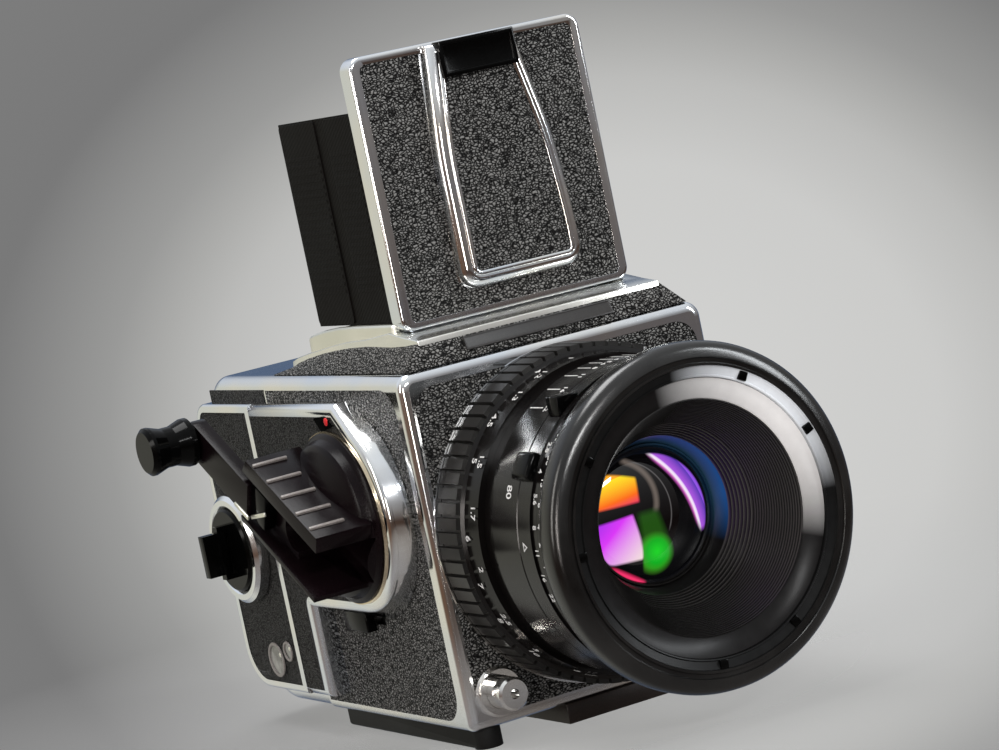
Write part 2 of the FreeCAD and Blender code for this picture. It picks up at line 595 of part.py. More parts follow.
piece("prerelease_slider", fuse("slider", slider_head, slider_stem))

# Crank. Built lying flat: x along its arm, y away from the half-moon, z outwards from the casing.
lean = math.radians(float(c.crank_angle))
u_way, v_way = V(0, math.cos(lean), math.sin(lean)), V(0, -math.sin(lean), math.cos(lean))
crank_turn = Turn(FreeCAD.Matrix(u_way.x, -v_way.x, -1, 0, u_way.y, -v_way.y, 0, 0, u_way.z, -v_way.z, 0, 0,
                                 0, 0, 0, 1))


def on_crank(name, item):
    item.Placement = FreeCAD.Placement(V(), crank_turn)
    bind(item, "Placement.Base.x", side)
    bind(item, "Placement.Base.y", c.crank_y)
    bind(item, "Placement.Base.z", crank_height)
    return piece(name, item)


hub_foot = c.rim_rise + gap
piece("crank_rim", turned("rim_ring", [(c.hub_top_radius, skin * -1),
                                       (c.casing_radius - c.casing_rim, skin * -1),
                                       (c.casing_radius - c.casing_rim, nought), (c.rim_radius, nought),
                                       (c.rim_radius, c.rim_rise), (c.hub_top_radius, c.rim_rise)],
                          "-x", (side, c.crank_y, crank_height)))
dome = turned("dome", [(nought, hub_foot), (c.hub_radius, hub_foot), (c.hub_radius, hub_foot + 0.3),
                       (c.hub_radius - 1, c.hub_top / 2), (c.hub_top_radius + 1.4, c.hub_top * 0.8),
                       (c.hub_top_radius, c.hub_top), (nought, c.hub_top)], "z", (nought, nought, nought))
bar = box("bar", (-c.arm_pivot, c.bar_reach), (-c.bar_half_high, c.bar_half_low),
          (c.hub_top / 2, c.bar_height))
bar_limit = rod("bar_limit", "z", (nought, nought), c.hub_radius, (nought, c.bar_height + 1))
moon_disc = rod("moon_disc", "z", (nought, nought), c.hub_top_radius + 1, (c.hub_top / 2, c.moon_height))
moon_side = box("moon_side", (-c.hub_radius, c.hub_radius), (-c.hub_radius, -c.bar_half_high + 1),
                (nought, c.bar_height))
slot = box("slot", (-c.hub_radius - 2, c.hub_radius + 2), (-c.slot_half, c.slot_half),
           (c.slot_floor, c.bar_height + 1))
pocket = box("pocket", (-c.arm_pivot - 0.3, -c.arm_length + c.arm_pivot + c.knob_radius + 0.5),
             (-c.slot_half, c.slot_half), (nought - 1, c.bar_height + 1))
hub_pin = rod("hub_pin", "y", (c.arm_pivot, c.arm_height), c.crank_pin,
              (-c.bar_half_high + 0.5, c.bar_half_low - 0.5))
shaft = rod("shaft", "z", (nought, nought), c.crank_shaft,
            (-c.casing_rise - c.gear_inset - c.gear_width, hub_foot))
hub_body = cut("hub_body", fuse("hub_sum", dome, common("bar_ends", bar, bar_limit),
                                common("moon", moon_disc, moon_side)),
               slot, pocket)
on_crank("crank_hub", fuse("hub", hub_body, hub_pin, shaft))
arm_half_thick = c.arm_thickness / 2
arm_end = c.arm_pivot + c.arm_length
arm_bar = box("arm_bar", (c.arm_pivot, arm_end), (-c.arm_half_width, c.arm_half_width),
              (c.arm_height - arm_half_thick, c.arm_height + arm_half_thick))
arm_barrel = rod("arm_barrel", "y", (c.arm_pivot, c.arm_height), arm_half_thick,
                 (-c.arm_half_width, c.arm_half_width))
arm_tip = rod("arm_tip", "z", (arm_end, nought), c.arm_half_width,
              (c.arm_height - arm_half_thick, c.arm_height + arm_half_thick))
knob_low = c.arm_height + arm_half_thick
arm_post = rod("arm_post", "z", (arm_end, nought), c.knob_post, (knob_low, knob_low + c.knob_length - 2))
arm_bore = rod("arm_bore", "y", (c.arm_pivot, c.arm_height), c.crank_pin + gap, (-c.slot_half, c.slot_half))
on_crank("crank_arm", cut("arm", fuse("arm_sum", arm_bar, arm_barrel, arm_tip, arm_post), arm_bore))
knob_bore = c.knob_post + gap
knob_end = knob_low + c.knob_length
knob = turned("knob_form", [(knob_bore, knob_low + gap), (c.knob_radius - 1.2, knob_low + gap),
                            (c.knob_radius, knob_low + 1), (c.knob_radius, knob_low + 2.4),
                            (c.knob_radius - 1.1, knob_low + c.knob_length * 0.42),
                            (c.knob_radius - 1.1, knob_low + c.knob_length * 0.62),
                            (c.knob_radius, knob_end - 1.8), (c.knob_radius, knob_end - 0.9),
                            (c.knob_radius - 0.9, knob_end), (nought, knob_end),
                            (nought, knob_end - 2 + gap), (knob_bore, knob_end - 2 + gap)], "z",
              (arm_end, nought, nought))
on_crank("crank_knob", fuse("knob_whole", knob, rod("knob_cap", "z", (arm_end, nought), c.knob_radius / 2,
                                                    (knob_end - 1, knob_end))))

# Gears from the crank to the magazine.
gear_start = float(-half + c.gear_inset)
gear_end = gear_start + float(c.gear_width)


def wheel(name, teeth, at, phase, hole):
    count = int(round(float(teeth)))
    pitch_radius = module * count / 2
    return piece(name, toothed(name + "_teeth", count, pitch_radius + 0.75 * module,
                               pitch_radius - 0.95 * module,
                               (0.33, 0.12), phase, hole, "x", at, gear_start, gear_end))


crank_step = 2 * math.pi / float(c.crank_teeth)
idler_step = 2 * math.pi / float(c.idler_teeth)
output_step = 2 * math.pi / float(c.output_teeth)
wheel("crank_gear", c.crank_teeth, (float(c.crank_y), float(crank_height)), gear_way, float(c.crank_shaft))
wheel("idler_gear", c.idler_teeth, idler_at, gear_way + math.pi + idler_step / 2, float(c.gear_pin + gap))
wheel("output_gear", c.output_teeth, output_at, gear_way + math.pi, float(c.gear_pin + gap))
wheel("magazine_gear", c.output_teeth, magazine_gear_at, -gear_way + output_step / 2, float(c.gear_pin + gap))

# Magazine shell with its raised side, gate, slot for the dark slide and a bracket for its gear.
mag_block = box("mag_block", (-half, half), (back, rear), (low, top))
mag_a = rounded("mag_a", mag_block, c.magazine_round_low,
                lambda at, way: way == "x" and at.y > float(rear) - 0.1 and at.z < float(low) + 0.1)
mag_b = rounded("mag_b", mag_a, c.magazine_round_high,
                lambda at, way: way == "x" and at.y > float(rear) - 0.1 and at.z > float(top) - 0.1)
mag_c = rounded("mag_c", mag_b, c.magazine_round,
                lambda at, way: abs(at.x) > float(half) - 0.1 and at.y > float(back) + 0.1)
frame_block = box("frame_block", (side, -half + c.wall), (back, rear - 2), (c.bar_bottom, casing_top))
frame_a = rounded("frame_a", frame_block, c.magazine_round_low - 3,
                  lambda at, way: way == "x" and at.y > float(rear) - 2.1 and at.z < float(c.bar_bottom) + 0.1)
frame_b = rounded("frame_b", frame_a, c.magazine_round_high - 2,
                  lambda at, way: way == "x" and at.y > float(rear) - 2.1 and at.z > float(casing_top) - 0.1)
frame_c = rounded("frame_c", frame_b, c.edge_round,
                  lambda at, way: at.x < float(side) + 0.1 and at.y > float(back) + 0.1)
mag_hollow = box("mag_hollow", (-half + c.wall, half - 3), (back + 3, rear - 2.5), (low + 2.5, top - 2.4))
mag_hollow_a = rounded("mag_hollow_a", mag_hollow, c.magazine_round_low - 2.5,
                       lambda at, way: way == "x" and at.y > float(rear) - 2.6 and at.z < 30)
mag_hollow_b = rounded("mag_hollow_b", mag_hollow_a, c.magazine_round_high - 2.5,
                       lambda at, way: way == "x" and at.y > float(rear) - 2.6 and at.z > 60)


insert_high = casing_top - c.insert_drop
cheek_half = half - c.cheek_gap


def insert_outline(name, x, spare):
    block = box(name + "_block", x, (back + c.insert_front - spare, rear - c.insert_back + spare),
                (c.insert_low - spare, insert_high + spare))
    block = rounded(name + "_low", block, c.insert_round + spare,
                    lambda at, way: way == "x" and at.y > float(rear) - 10 and at.z < 30)
    return rounded(name, block, c.insert_round / 3 + spare,
                   lambda at, way: way == "x" and at.y > float(rear) - 10 and at.z > 60)


insert_hole = insert_outline("insert_hole", (side - 1, -half + c.wall + 1), c.insert_gap)
film_gate = box("film_gate", (-c.gate_side / 2, c.gate_side / 2), (back - 1, back + 4),
                (c.lens_height - c.gate_side / 2, c.lens_height + c.gate_side / 2))
magazine_slot = box("magazine_slot", (-half + c.wall, -half + c.gear_inset + c.gear_width + 0.8),
                    (back - 1, back + 4),
                    (low + 2.5, c.gear_low + 6.2))
slide_slot = box("slide_slot", (-c.slide_width / 2 - 0.5, half + 1),
                 (back + c.slide_gap_y - gap, back + c.slide_gap_y + c.slide_thickness + gap),
                 (c.lens_height - c.slide_height / 2 - gap, c.lens_height + c.slide_height / 2 + gap))
back_pocket_block = box("back_pocket_block", (-half + 5.5, half - 5.5), (rear - ground, rear + 1),
                        (low + c.magazine_round_low + 1, top - c.magazine_round_high - 1))
back_pocket = rounded("back_pocket", back_pocket_block, c.leather_round, lambda at, way: way == "y")
flank_block = box("flank_block", (half - ground, half + 1), (back + 2.5, rear - 6),
                  (low + c.magazine_round_low / 2, top - c.top_round - 0.6))
latch_slot = box("latch_slot", (-2.05 + nought, 2.05 + c.latch_travel), (c.latch_y - 3.05, c.latch_y + 3.05),
                 (top - 3, top + 1))
bracket = box("bracket", (gear_end + 0.4 + nought, gear_end + 2.4 + nought), (back + 2, back + 7.5),
              (low + 2, c.gear_low + 2))
mag_pin = plain("mag_pin", Part.makeCylinder(float(c.gear_pin), gear_end + 0.5 - gear_start,
                                             V(gear_start, magazine_gear_at[0], magazine_gear_at[1]),
                                             V(1, 0, 0)))
mag_sum = fuse("mag_sum", mag_c, frame_c)
mag_cut = cut("mag_cut", mag_sum, mag_hollow_b, insert_hole, film_gate, magazine_slot, slide_slot,
              back_pocket,
              flank_block, latch_slot)
piece("magazine_shell", fuse("mag_shell", mag_cut, bracket, mag_pin))
back_sheet_block = box("back_sheet_block", (-half + 5.5, half - 5.5), (rear - ground, rear - skin),
                       (low + c.magazine_round_low + 1, top - c.magazine_round_high - 1))
back_sheet = rounded("back_sheet", back_sheet_block, c.leather_round, lambda at, way: way == "y")
flank_sheet = box("flank_sheet", (half - ground, half - skin), (back + 2.5, rear - 6),
                  (low + c.magazine_round_low / 2, top - c.top_round - 0.6))
mag_leather = doc.addObject("Part::Compound", "mag_leather_set")
mag_leather.Links = [back_sheet, flank_sheet]
piece("magazine_leather", mag_leather)

# Dark slide with its bail.
slide_y = back + c.slide_gap_y
sheet_blade = box("sheet_blade", (-c.slide_width / 2, half + 0.5), (slide_y, slide_y + c.slide_thickness),
                  (c.lens_height - c.slide_height / 2, c.lens_height + c.slide_height / 2))
bail = box("bail", (half + 0.5, half + 5), (slide_y - 0.6, slide_y + c.slide_thickness + 0.6),
           (c.lens_height - 22, c.lens_height + 22))
bail_hole = box("bail_hole", (half + 2, half + 3.5), (slide_y - 2, slide_y + 3),
                (c.lens_height - 20, c.lens_height + 20))
piece("dark_slide", cut("slide", fuse("slide_sum", sheet_blade, bail), bail_hole))

# Release of the magazine, a low ramp on its roof.
ramp = slab("ramp", [(c.latch_y - c.latch_length / 2, gap), (c.latch_y + c.latch_length / 2, gap),
                     (c.latch_y + c.latch_length / 2, 1 + gap),
                     (c.latch_y - c.latch_length / 4, c.latch_height),
                     (c.latch_y - c.latch_length / 2, c.latch_height)], c.latch_half * 2,
            Turn(V(1, 1, 1), 120),
            (-c.latch_half, nought, top))
latch_stem = box("latch_stem", (-2 + nought, 2 + nought), (c.latch_y - 3, c.latch_y + 3),
                 (top - 2.2, top + 0.5))
piece("magazine_release", fuse("latch", ramp, latch_stem))

# Film insert: end plate, cheeks, back and pressure plate in one frame.
plate_out = side + ground
plate_in = plate_out + c.insert_thickness
end_plate = insert_outline("end_plate", (plate_out, plate_in), 0)
key_bore = rod("key_bore", "x", (c.key_y, c.key_height), c.key_shaft + gap, (side - 1, -half + 2))
window_hole = rod("window_hole", "x", (c.window_y, c.window_height), c.window_radius, (side - 1, -half + 4))
window_hole_b = rod("window_hole_b", "x", (c.window_small_y, c.window_small_height), c.window_small_radius,
                    (side - 1, -half + 4))
frame_front = back + c.pressure_y
frame_back = rear - c.insert_back - 0.8
cheek_z = (c.feed_height - c.spool_flange - 1, c.take_up_height + c.spool_flange + 1.4)
cheek_out = cheek_half + c.cheek_thickness
cheek_a = box("cheek_a", (-cheek_out, -cheek_half), (frame_front, frame_back), cheek_z)
cheek_b = box("cheek_b", (cheek_half, cheek_out), (frame_front, frame_back), cheek_z)
back_bar = box("back_bar", (-cheek_out, cheek_out), (frame_back - 1.2, frame_back),
               (c.lens_height - 14, c.lens_height + 14))
neck = box("neck", (plate_in, -cheek_out), (frame_back - 12, frame_back),
           (c.key_height + 6, c.key_height + 20))
neck_low = box("neck_low", (plate_in, -cheek_out), (frame_back - 12, frame_back),
               (c.key_height - 20, c.key_height - 6))
press = box("press", (-cheek_half, cheek_half), (frame_front, frame_front + c.pressure_thickness),
            (c.lens_height - c.gate_side / 2 - 0.8, c.lens_height + c.gate_side / 2 + 0.8))
spool_at = back + c.spool_y
spindles = [rod("spindle_" + word, "x", (spool_at, high), c.spool_bore, span)
            for word, high, span in (("a", c.feed_height, (-cheek_half, -cheek_half + 6)),
                                     ("b", c.feed_height, (cheek_half - 6, cheek_half)),
                                     ("d", c.take_up_height, (-cheek_half, -cheek_half + 6)),
                                     ("e", c.take_up_height, (cheek_half - 6, cheek_half)))]
insert_sum = fuse("insert_sum", end_plate, cheek_a, cheek_b, back_bar, neck, neck_low, press, *spindles)
piece("film_insert", cut("insert", insert_sum, key_bore, window_hole, window_hole_b))
insert_sheet = insert_outline("insert_sheet", (side + skin, plate_out), 0)
key_hole = rod("key_hole", "x", (c.key_y, c.key_height), c.key_radius + 0.55, (side - 1, -half + 2))
sheet_hole = rod("sheet_hole", "x", (c.window_y, c.window_height), c.window_radius, (side - 1, -half + 4))
sheet_hole_b = rod("sheet_hole_b", "x", (c.window_small_y, c.window_small_height), c.window_small_radius,
                   (side - 1, -half + 4))
piece("insert_leather", cut("insert_skin", insert_sheet, key_hole, sheet_hole, sheet_hole_b))
windows = doc.addObject("Part::Compound", "window_set")
windows.Links = [rod("window", "x", (c.window_y, c.window_height), c.window_radius, (side, plate_in)),
                 rod("window_b", "x", (c.window_small_y, c.window_small_height), c.window_small_radius,
                     (side, plate_in))]
piece("counter_windows", windows)
key_centre = (side, c.key_y, c.key_height)
ring_neck = c.key_radius + 0.55
piece("key_ring", turned("ring", [(c.key_radius + gap, -ground), (ring_neck, -ground), (ring_neck, gap),
                                  (c.key_ring_radius, gap), (c.key_ring_radius, c.key_ring_rise - 1),
                                  (c.key_ring_radius - 1, c.key_ring_rise),
                                  (c.key_radius + gap + 0.8, c.key_ring_rise),
                                  (c.key_radius + gap, c.key_ring_rise - 0.8)],
                         "-x", key_centre))
key_disc = turned("key_disc", [(nought, -ground + gap), (c.key_radius, -ground + gap),
                               (c.key_radius, c.key_rise - 0.6),
                               (c.key_radius - 0.6, c.key_rise), (nought, c.key_rise)], "-x", key_centre)
key_stub = rod("key_stub", "x", (c.key_y, c.key_height), c.key_shaft, (side + ground - 0.2, plate_in + 1))
ears = []
pivot_h = c.key_rise + c.wing_thickness / 2 + 0.1
for word, way in (("a", 1), ("b", -1)):
    near = c.key_height + way * (c.wing_half + 0.1)
    far = c.key_height + way * (c.wing_half + 1.5)
    span = (near, far) if way > 0 else (far, near)
    ears.append(box("ear_" + word, (side - pivot_h - 1.4, side - c.key_rise + 0.3),
                    (c.key_y - 1.4, c.key_y + 1.4), span))
wing_pin = rod("wing_pin", "z", (side - pivot_h, c.key_y), 0.6 + nought,
               (c.key_height - c.wing_half - 0.5, c.key_height + c.wing_half + 0.5))
piece("film_key", fuse("key", key_disc, key_stub, *ears, wing_pin))
wing_foot = rod("wing_foot", "z", (side - pivot_h, c.key_y), c.wing_thickness / 2,
                (c.key_height - c.wing_half, c.key_height + c.wing_half))
wing_blade = box("wing_blade", (side - pivot_h - c.wing_height + c.wing_thickness / 2, side - pivot_h),
                 (c.key_y - c.wing_thickness / 2, c.key_y + c.wing_thickness / 2),
                 (c.key_height - c.wing_half, c.key_height + c.wing_half))
wing_bore = rod("wing_bore", "z", (side - pivot_h, c.key_y), 0.6 + gap,
                (c.key_height - c.wing_half - 1, c.key_height + c.wing_half + 1))
piece("key_wing", cut("wing", fuse("wing_sum", wing_foot, wing_blade), wing_bore))


def spool(name, high, *more):
    end = c.spool_length / 2
    core = rod(name + "_core", "x", (spool_at, high), c.spool_core, (-end, end))
    flange_a = rod(name + "_flange_a", "x", (spool_at, high), c.spool_flange, (-end, -end + 1))
    flange_b = rod(name + "_flange_b", "x", (spool_at, high), c.spool_flange, (end - 1, end))
    hole_a = rod(name + "_hole_a", "x", (spool_at, high), c.spool_bore + gap, (-end - 1, -end + 7))
    hole_b = rod(name + "_hole_b", "x", (spool_at, high), c.spool_bore + gap, (end - 7, end + 1))
    return piece(name, cut(name + "_body", fuse(name + "_sum", core, flange_a, flange_b, *more), hole_a,
                           hole_b))


spool("take_up_spool", c.take_up_height)
roll_end = c.spool_length / 2 - 0.5
spool("feed_spool", c.feed_height, rod("film_roll", "x", (spool_at, c.feed_height), c.film_radius,
                                       (-roll_end, roll_end)))

# Sloped cover round the finder, with a bare place for a name plate.
half_low, half_high = float(c.plinth_half_low), float(c.plinth_half_high)
level, crown = float(top), float(top + c.plinth_height)
foot_wire = Part.makePolygon([V(-half_low, float(front) + 1, level), V(half_low, float(front) + 1, level),
                              V(half_low, float(back), level), V(-half_low, float(back), level),
                              V(-half_low, float(front) + 1, level)])
crown_wire = Part.makePolygon([V(-half_high, float(c.plinth_top_front), crown),
                               V(half_high, float(c.plinth_top_front), crown),
                               V(half_high, float(c.plinth_top_back), crown),
                               V(-half_high, float(c.plinth_top_back), crown),
                               V(-half_high, float(c.plinth_top_front), crown)])
plinth_block = plain("plinth_block", Part.makeLoft([foot_wire, crown_wire], True, True))
plinth_hole = box("plinth_hole", (-c.base_half, c.base_half), (c.base_front, c.base_back),
                  (top - 1, top + c.plinth_height + 1))
piece("top_cover", cut("cover", plinth_block, plinth_hole))

# Finder base: walls round the screen, a front deck under the lid and a bright lip on the cover.
crown_at = top + c.plinth_height
base_top = top + c.base_rise
deck_top = top + c.deck_rise
base_block = box("base_block", (-c.base_half, c.base_half), (c.base_front, c.base_back), (top, base_top))
base_soft = rounded("base_soft", base_block, c.leather_round, lambda at, way: way == "z" and at.y > 0)
base_lip = box("base_lip", (-c.plinth_half_high, c.plinth_half_high), (c.plinth_top_front, c.plinth_top_back),
               (crown_at, crown_at + c.lip))
base_hollow = box("base_hollow", (-c.base_half + c.base_wall, c.base_half - c.base_wall),
                  (c.base_front + c.base_wall, c.base_back - c.base_wall), (top - 1, base_top + 1))
lid_back = c.lid_front + c.lid_thickness
deck_cut = box("deck_cut", (-c.base_half - 2, c.base_half + 2), (c.plinth_top_front - 1, lid_back + 0.3),
               (deck_top, base_top + 1))
piece("finder_base", cut("finder_frame", fuse("base_sum", base_soft, base_lip), base_hollow, deck_cut))

# Lid of the hood, upright, with a raised tongue whose top is covered with leather like the rest.
lid_low = top + c.lid_rise
lid_high = lid_low + c.lid_height
lid_block = box("lid_block", (-c.lid_half, c.lid_half), (c.lid_front, lid_back), (lid_low, lid_high))
lid_soft = rounded("lid_soft", lid_block, c.lid_round, lambda at, way: way == "y")
lid_edge = rounded("lid_edge", lid_soft, c.edge_round, lambda at, way: at.y < float(c.lid_front) + 0.01)
lid_hollow = box("lid_hollow", (-c.lid_half + c.lid_wall, c.lid_half - c.lid_wall),
                 (c.lid_front + c.lid_wall + ground, lid_back + 1),
                 (lid_low + c.lid_wall, lid_high - c.lid_wall))


def lid_field(name, y):
    block = box(name + "_block", (-c.lid_half + c.lid_rim, c.lid_half - c.lid_rim), y,
                (lid_low + c.lid_rim_low, lid_high - c.lid_rim_low))
    return rounded(name, block, c.lid_round / 2, lambda at, way: way == "y")


tongue = [(-c.tongue_left_top, c.tongue_top), (-c.tongue_left, c.tongue_mid),
          (-c.tongue_left, c.tongue_low + c.tongue_corner), (c.tongue_corner - c.tongue_left, c.tongue_low),
          (c.tongue_right - c.tongue_corner, c.tongue_low), (c.tongue_right, c.tongue_low + c.tongue_corner),
          (c.tongue_right, c.tongue_mid / 2), (c.tongue_right_mid, c.tongue_mid),
          (c.tongue_right_high, c.tongue_high), (c.tongue_right_top, c.tongue_top)]


def tongue_face(inset, y):
    corners = [V(float(x), float(y), float(lid_low) + float(z)) for x, z in tongue]
    face = Part.Face(Part.makePolygon(corners + corners[:1]))
    return face.makeOffset2D(-float(inset), 2) if inset else face


def tongue_slab(name, inset, y, end):
    return plain(name, tongue_face(inset, y).extrude(V(0, float(end) - float(y), 0)))


tongue_front = c.lid_front - c.tongue_rise
tongue_root = plain("tongue_root", Part.makeLoft([tongue_face(0, c.lid_front + skin).OuterWire,
                                                  tongue_face(c.tongue_flank, tongue_front).OuterWire],
                                                 True, True))
tongue_stem = tongue_slab("tongue_stem", 0, c.lid_front + skin, c.lid_front + ground)
tongue_inset = c.tongue_flank + c.bead
tongue_pocket = tongue_slab("tongue_pocket", tongue_inset, tongue_front - 1, tongue_front + ground)
catch_low = lid_high - c.catch_drop
catch_high = catch_low + c.catch_length
catch_slot = box("catch_slot", (c.catch_x - 3 - gap, c.catch_x + 3 + gap + c.catch_travel),
                 (tongue_front - 1, c.lid_front + c.lid_wall + ground + 0.5),
                 (catch_low + 2 - gap, catch_low + 4 + gap))
magnifier_pivot_y = lid_back - c.magnifier_inset
magnifier_pivot_height = lid_low + c.magnifier_pivot_rise
lid_bore = rod("lid_bore", "x", (magnifier_pivot_y, magnifier_pivot_height), c.magnifier_pin + gap,
               (-c.lid_half + 0.6, c.lid_half - 0.6))
lid_shell = cut("lid_shell", lid_edge, lid_hollow, lid_field("lid_pocket",
                                                             (c.lid_front - 1, c.lid_front + ground)),
                lid_bore)
piece("hood_lid", cut("lid", fuse("lid_sum", lid_shell, tongue_root, tongue_stem), tongue_pocket, catch_slot))
lid_sheet = cut("lid_sheet", lid_field("lid_cover", (c.lid_front + skin, c.lid_front + ground)),
                tongue_slab("tongue_place", 0, c.lid_front - 1, c.lid_front + ground + 1))
tongue_sheet = cut("tongue_sheet", tongue_slab("tongue_cover", tongue_inset, tongue_front + skin,
                                               tongue_front + ground),
                   box("sheet_slot", (c.catch_x - 3 - gap, c.catch_x + 3 + gap + c.catch_travel),
                       (tongue_front - 1, tongue_front + 2), (catch_low + 2 - gap, lid_high)))
lid_set = doc.addObject("Part::Compound", "lid_set")
lid_set.Links = [lid_sheet, tongue_sheet]
piece("lid_leather", lid_set)
catch_face = tongue_front - gap
catch_head = rounded("catch_head", box("catch_block", (c.catch_x - c.catch_half, c.catch_x + c.catch_half),
                                       (catch_face - c.catch_rise, catch_face), (catch_low, catch_high)),
                     c.edge_round, lambda at, way: way == "y")
catch_stem = box("catch_stem", (c.catch_x - 3, c.catch_x + 3),
                 (catch_face - 0.5, c.lid_front + c.lid_wall + ground), (catch_low + 2, catch_low + 4))
piece("lid_catch", fuse("catch", catch_head, catch_stem))

# Folding leaves of the hood: both sides in one set, and the one at the back.
leaf_front = lid_back + c.leaf_gap
leaf_top = lid_high - c.leaf_drop
back_leaf_top = lid_high - c.back_leaf_drop
side_leaves = []
for word, way in (("right", 1), ("left", -1)):
    inner, outer = c.leaf_x - c.leaf_thickness, c.leaf_x
    span = (inner, outer) if way > 0 else (-outer, -inner)
    front_leaf = slab("front_leaf_" + word, [(leaf_front, base_top), (c.leaf_back, base_top),
                                             (c.leaf_back, leaf_top - 5),
                                             (c.leaf_back - 5, leaf_top), (leaf_front, leaf_top)],
                      c.leaf_thickness, Turn(V(1, 1, 1), 120), (span[0], nought, nought))
    side_leaves.append(front_leaf)
leaf_set = doc.addObject("Part::Compound", "leaf_set")
leaf_set.Links = side_leaves
piece("hood_side_leaves", leaf_set)
piece("hood_back_leaf", box("back_leaf", (-c.leaf_x + c.leaf_thickness, c.leaf_x - c.leaf_thickness),
                            (c.leaf_back - c.leaf_thickness, c.leaf_back), (base_top, back_leaf_top)))

# Magnifier, folded flat behind the lid.
mag_y = (magnifier_pivot_y - c.magnifier_thickness / 2, magnifier_pivot_y + c.magnifier_thickness / 2)
glass_z = magnifier_pivot_height + c.magnifier_reach
ring_outer = c.magnifier_radius + c.magnifier_ring
mag_ring = rod("mag_ring", "y", (nought, glass_z), ring_outer, mag_y)
mag_arms = box("mag_arms", (-9 + nought, 9 + nought), mag_y, (magnifier_pivot_height, glass_z))
mag_barrel = rod("mag_barrel", "x", (magnifier_pivot_y, magnifier_pivot_height), c.magnifier_thickness / 2,
                 (-c.lid_half + 1.5 + gap, c.lid_half - 1.5 - gap))
mag_pins = rod("mag_pins", "x", (magnifier_pivot_y, magnifier_pivot_height), c.magnifier_pin,
               (-c.lid_half + 0.7, c.lid_half - 0.7))
mag_lens_hole = rod("mag_lens_hole", "y", (nought, glass_z), c.magnifier_radius, (mag_y[0] - 1, mag_y[1] + 1))
piece("magnifier_arm", cut("magnifier", fuse("magnifier_sum", mag_ring, mag_arms, mag_barrel, mag_pins),
                           mag_lens_hole))
piece("magnifier_lens", rod("magnifier_glass", "y", (nought, glass_z), c.magnifier_radius,
                            (mag_y[0] + 0.3, mag_y[1] - 0.3)))

# Lens, from the flange forwards. Heights here are depths in front of the front face.
lens_at = (nought, front, c.lens_height)
tube_in = c.tube_radius - c.tube_wall
piece("lens_flange", turned("flange", [(tube_in, -c.tube_length), (c.tube_radius, -c.tube_length),
                                       (c.tube_radius, nought), (c.flange_radius, nought),
                                       (c.flange_radius, c.flange_depth), (tube_in, c.flange_depth)], "-y",
                            lens_at))
piece("lens_barrel", turned("barrel", [(c.bore_radius, c.flange_depth), (c.core_radius, c.flange_depth),
                                       (c.core_radius, c.scale_end + gap),
                                       (c.groove_radius, c.scale_end + gap),
                                       (c.groove_radius, c.groove_end), (c.barrel_radius, c.groove_end),
                                       (c.barrel_radius, c.barrel_end),
                                       (c.barrel_radius - 0.4, c.barrel_end + 0.3),
                                       (c.barrel_radius, c.barrel_end + 0.6), (c.barrel_radius, c.index_end),
                                       (c.inner_radius, c.index_end), (c.inner_radius, c.bulge_start),
                                       (c.bore_radius, c.bulge_start - 8)], "-y", lens_at))
grip_hole = c.core_radius + gap
grip_start, grip_end = float(front - c.grip_end), float(front - c.grip_start)
piece("focus_grip", toothed("grip", int(round(float(c.pad_count))), float(c.grip_radius), float(c.grip_root),
                            (0.4, 0.37), 0, float(grip_hole), "y", (0, float(c.lens_height)), grip_start,
                            grip_end))
piece("distance_ring", turned("distance", [(grip_hole, c.grip_end), (c.grip_root, c.grip_end),
                                           (c.scale_radius, c.grip_end + 0.6),
                                           (c.scale_radius - 0.8, c.scale_end),
                                           (grip_hole, c.scale_end)], "-y", lens_at))
ring_hole = c.inner_radius + gap
piece("aperture_ring", turned("aperture", [(ring_hole, c.index_end + gap), (c.ring_radius, c.index_end + gap),
                                           (c.ring_radius, c.ring_split - gap),
                                           (ring_hole, c.ring_split - gap)],
                              "-y", lens_at))
piece("speed_ring", turned("speed", [(ring_hole, c.ring_split), (c.ring_radius, c.ring_split),
                                     (c.ring_radius, c.ring_end - gap), (ring_hole, c.ring_end - gap)], "-y",
                           lens_at))
piece("front_ring", turned("front_hoop", [(c.inner_radius, c.ring_end), (c.front_waist, c.ring_end),
                                          (c.front_waist, c.ring_end + 1.5), (c.front_bulge, c.bulge_start),
                                          (c.front_bulge, c.bulge_end),
                                          (c.front_bulge - 2, c.front_end - 0.6),
                                          (c.front_bulge - 4, c.front_end), (c.mouth_radius + 1, c.front_end),
                                          (c.mouth_radius, c.front_end - 1),
                                          (c.mouth_radius, c.bulge_start + 1),
                                          (c.inner_radius, c.bulge_start + 1)], "-y", lens_at))
piece("lens_cone", turned("cone", [(c.glass_radius, c.glass_depth), (c.bore_radius, c.glass_depth),
                                   (c.bore_radius, c.bulge_start - 8), (c.inner_radius, c.bulge_start),
                                   (c.inner_radius, c.bulge_start + 1), (c.mouth_radius, c.bulge_start + 1),
                                   (c.mouth_radius, c.front_end - 1.4), (c.name_inner, c.front_end - 2),
                                   (c.cone_radius, c.cone_depth), (c.cone_radius - 2, c.cone_depth),
                                   (c.glass_radius, c.glass_depth + 3)], "-y", lens_at))
piece("front_glass", turned("front_lens", [(nought, c.glass_depth - 3),
                                           (c.glass_radius - 1, c.glass_depth - 2),
                                           (c.glass_radius, c.glass_depth),
                                           (c.glass_radius, c.glass_depth + 2),
                                           (c.glass_radius * 0.7, c.glass_depth + c.glass_dome * 0.77),
                                           (c.glass_radius * 0.35, c.glass_depth + c.glass_dome * 0.94),
                                           (nought, c.glass_depth + c.glass_dome)], "-y", lens_at))
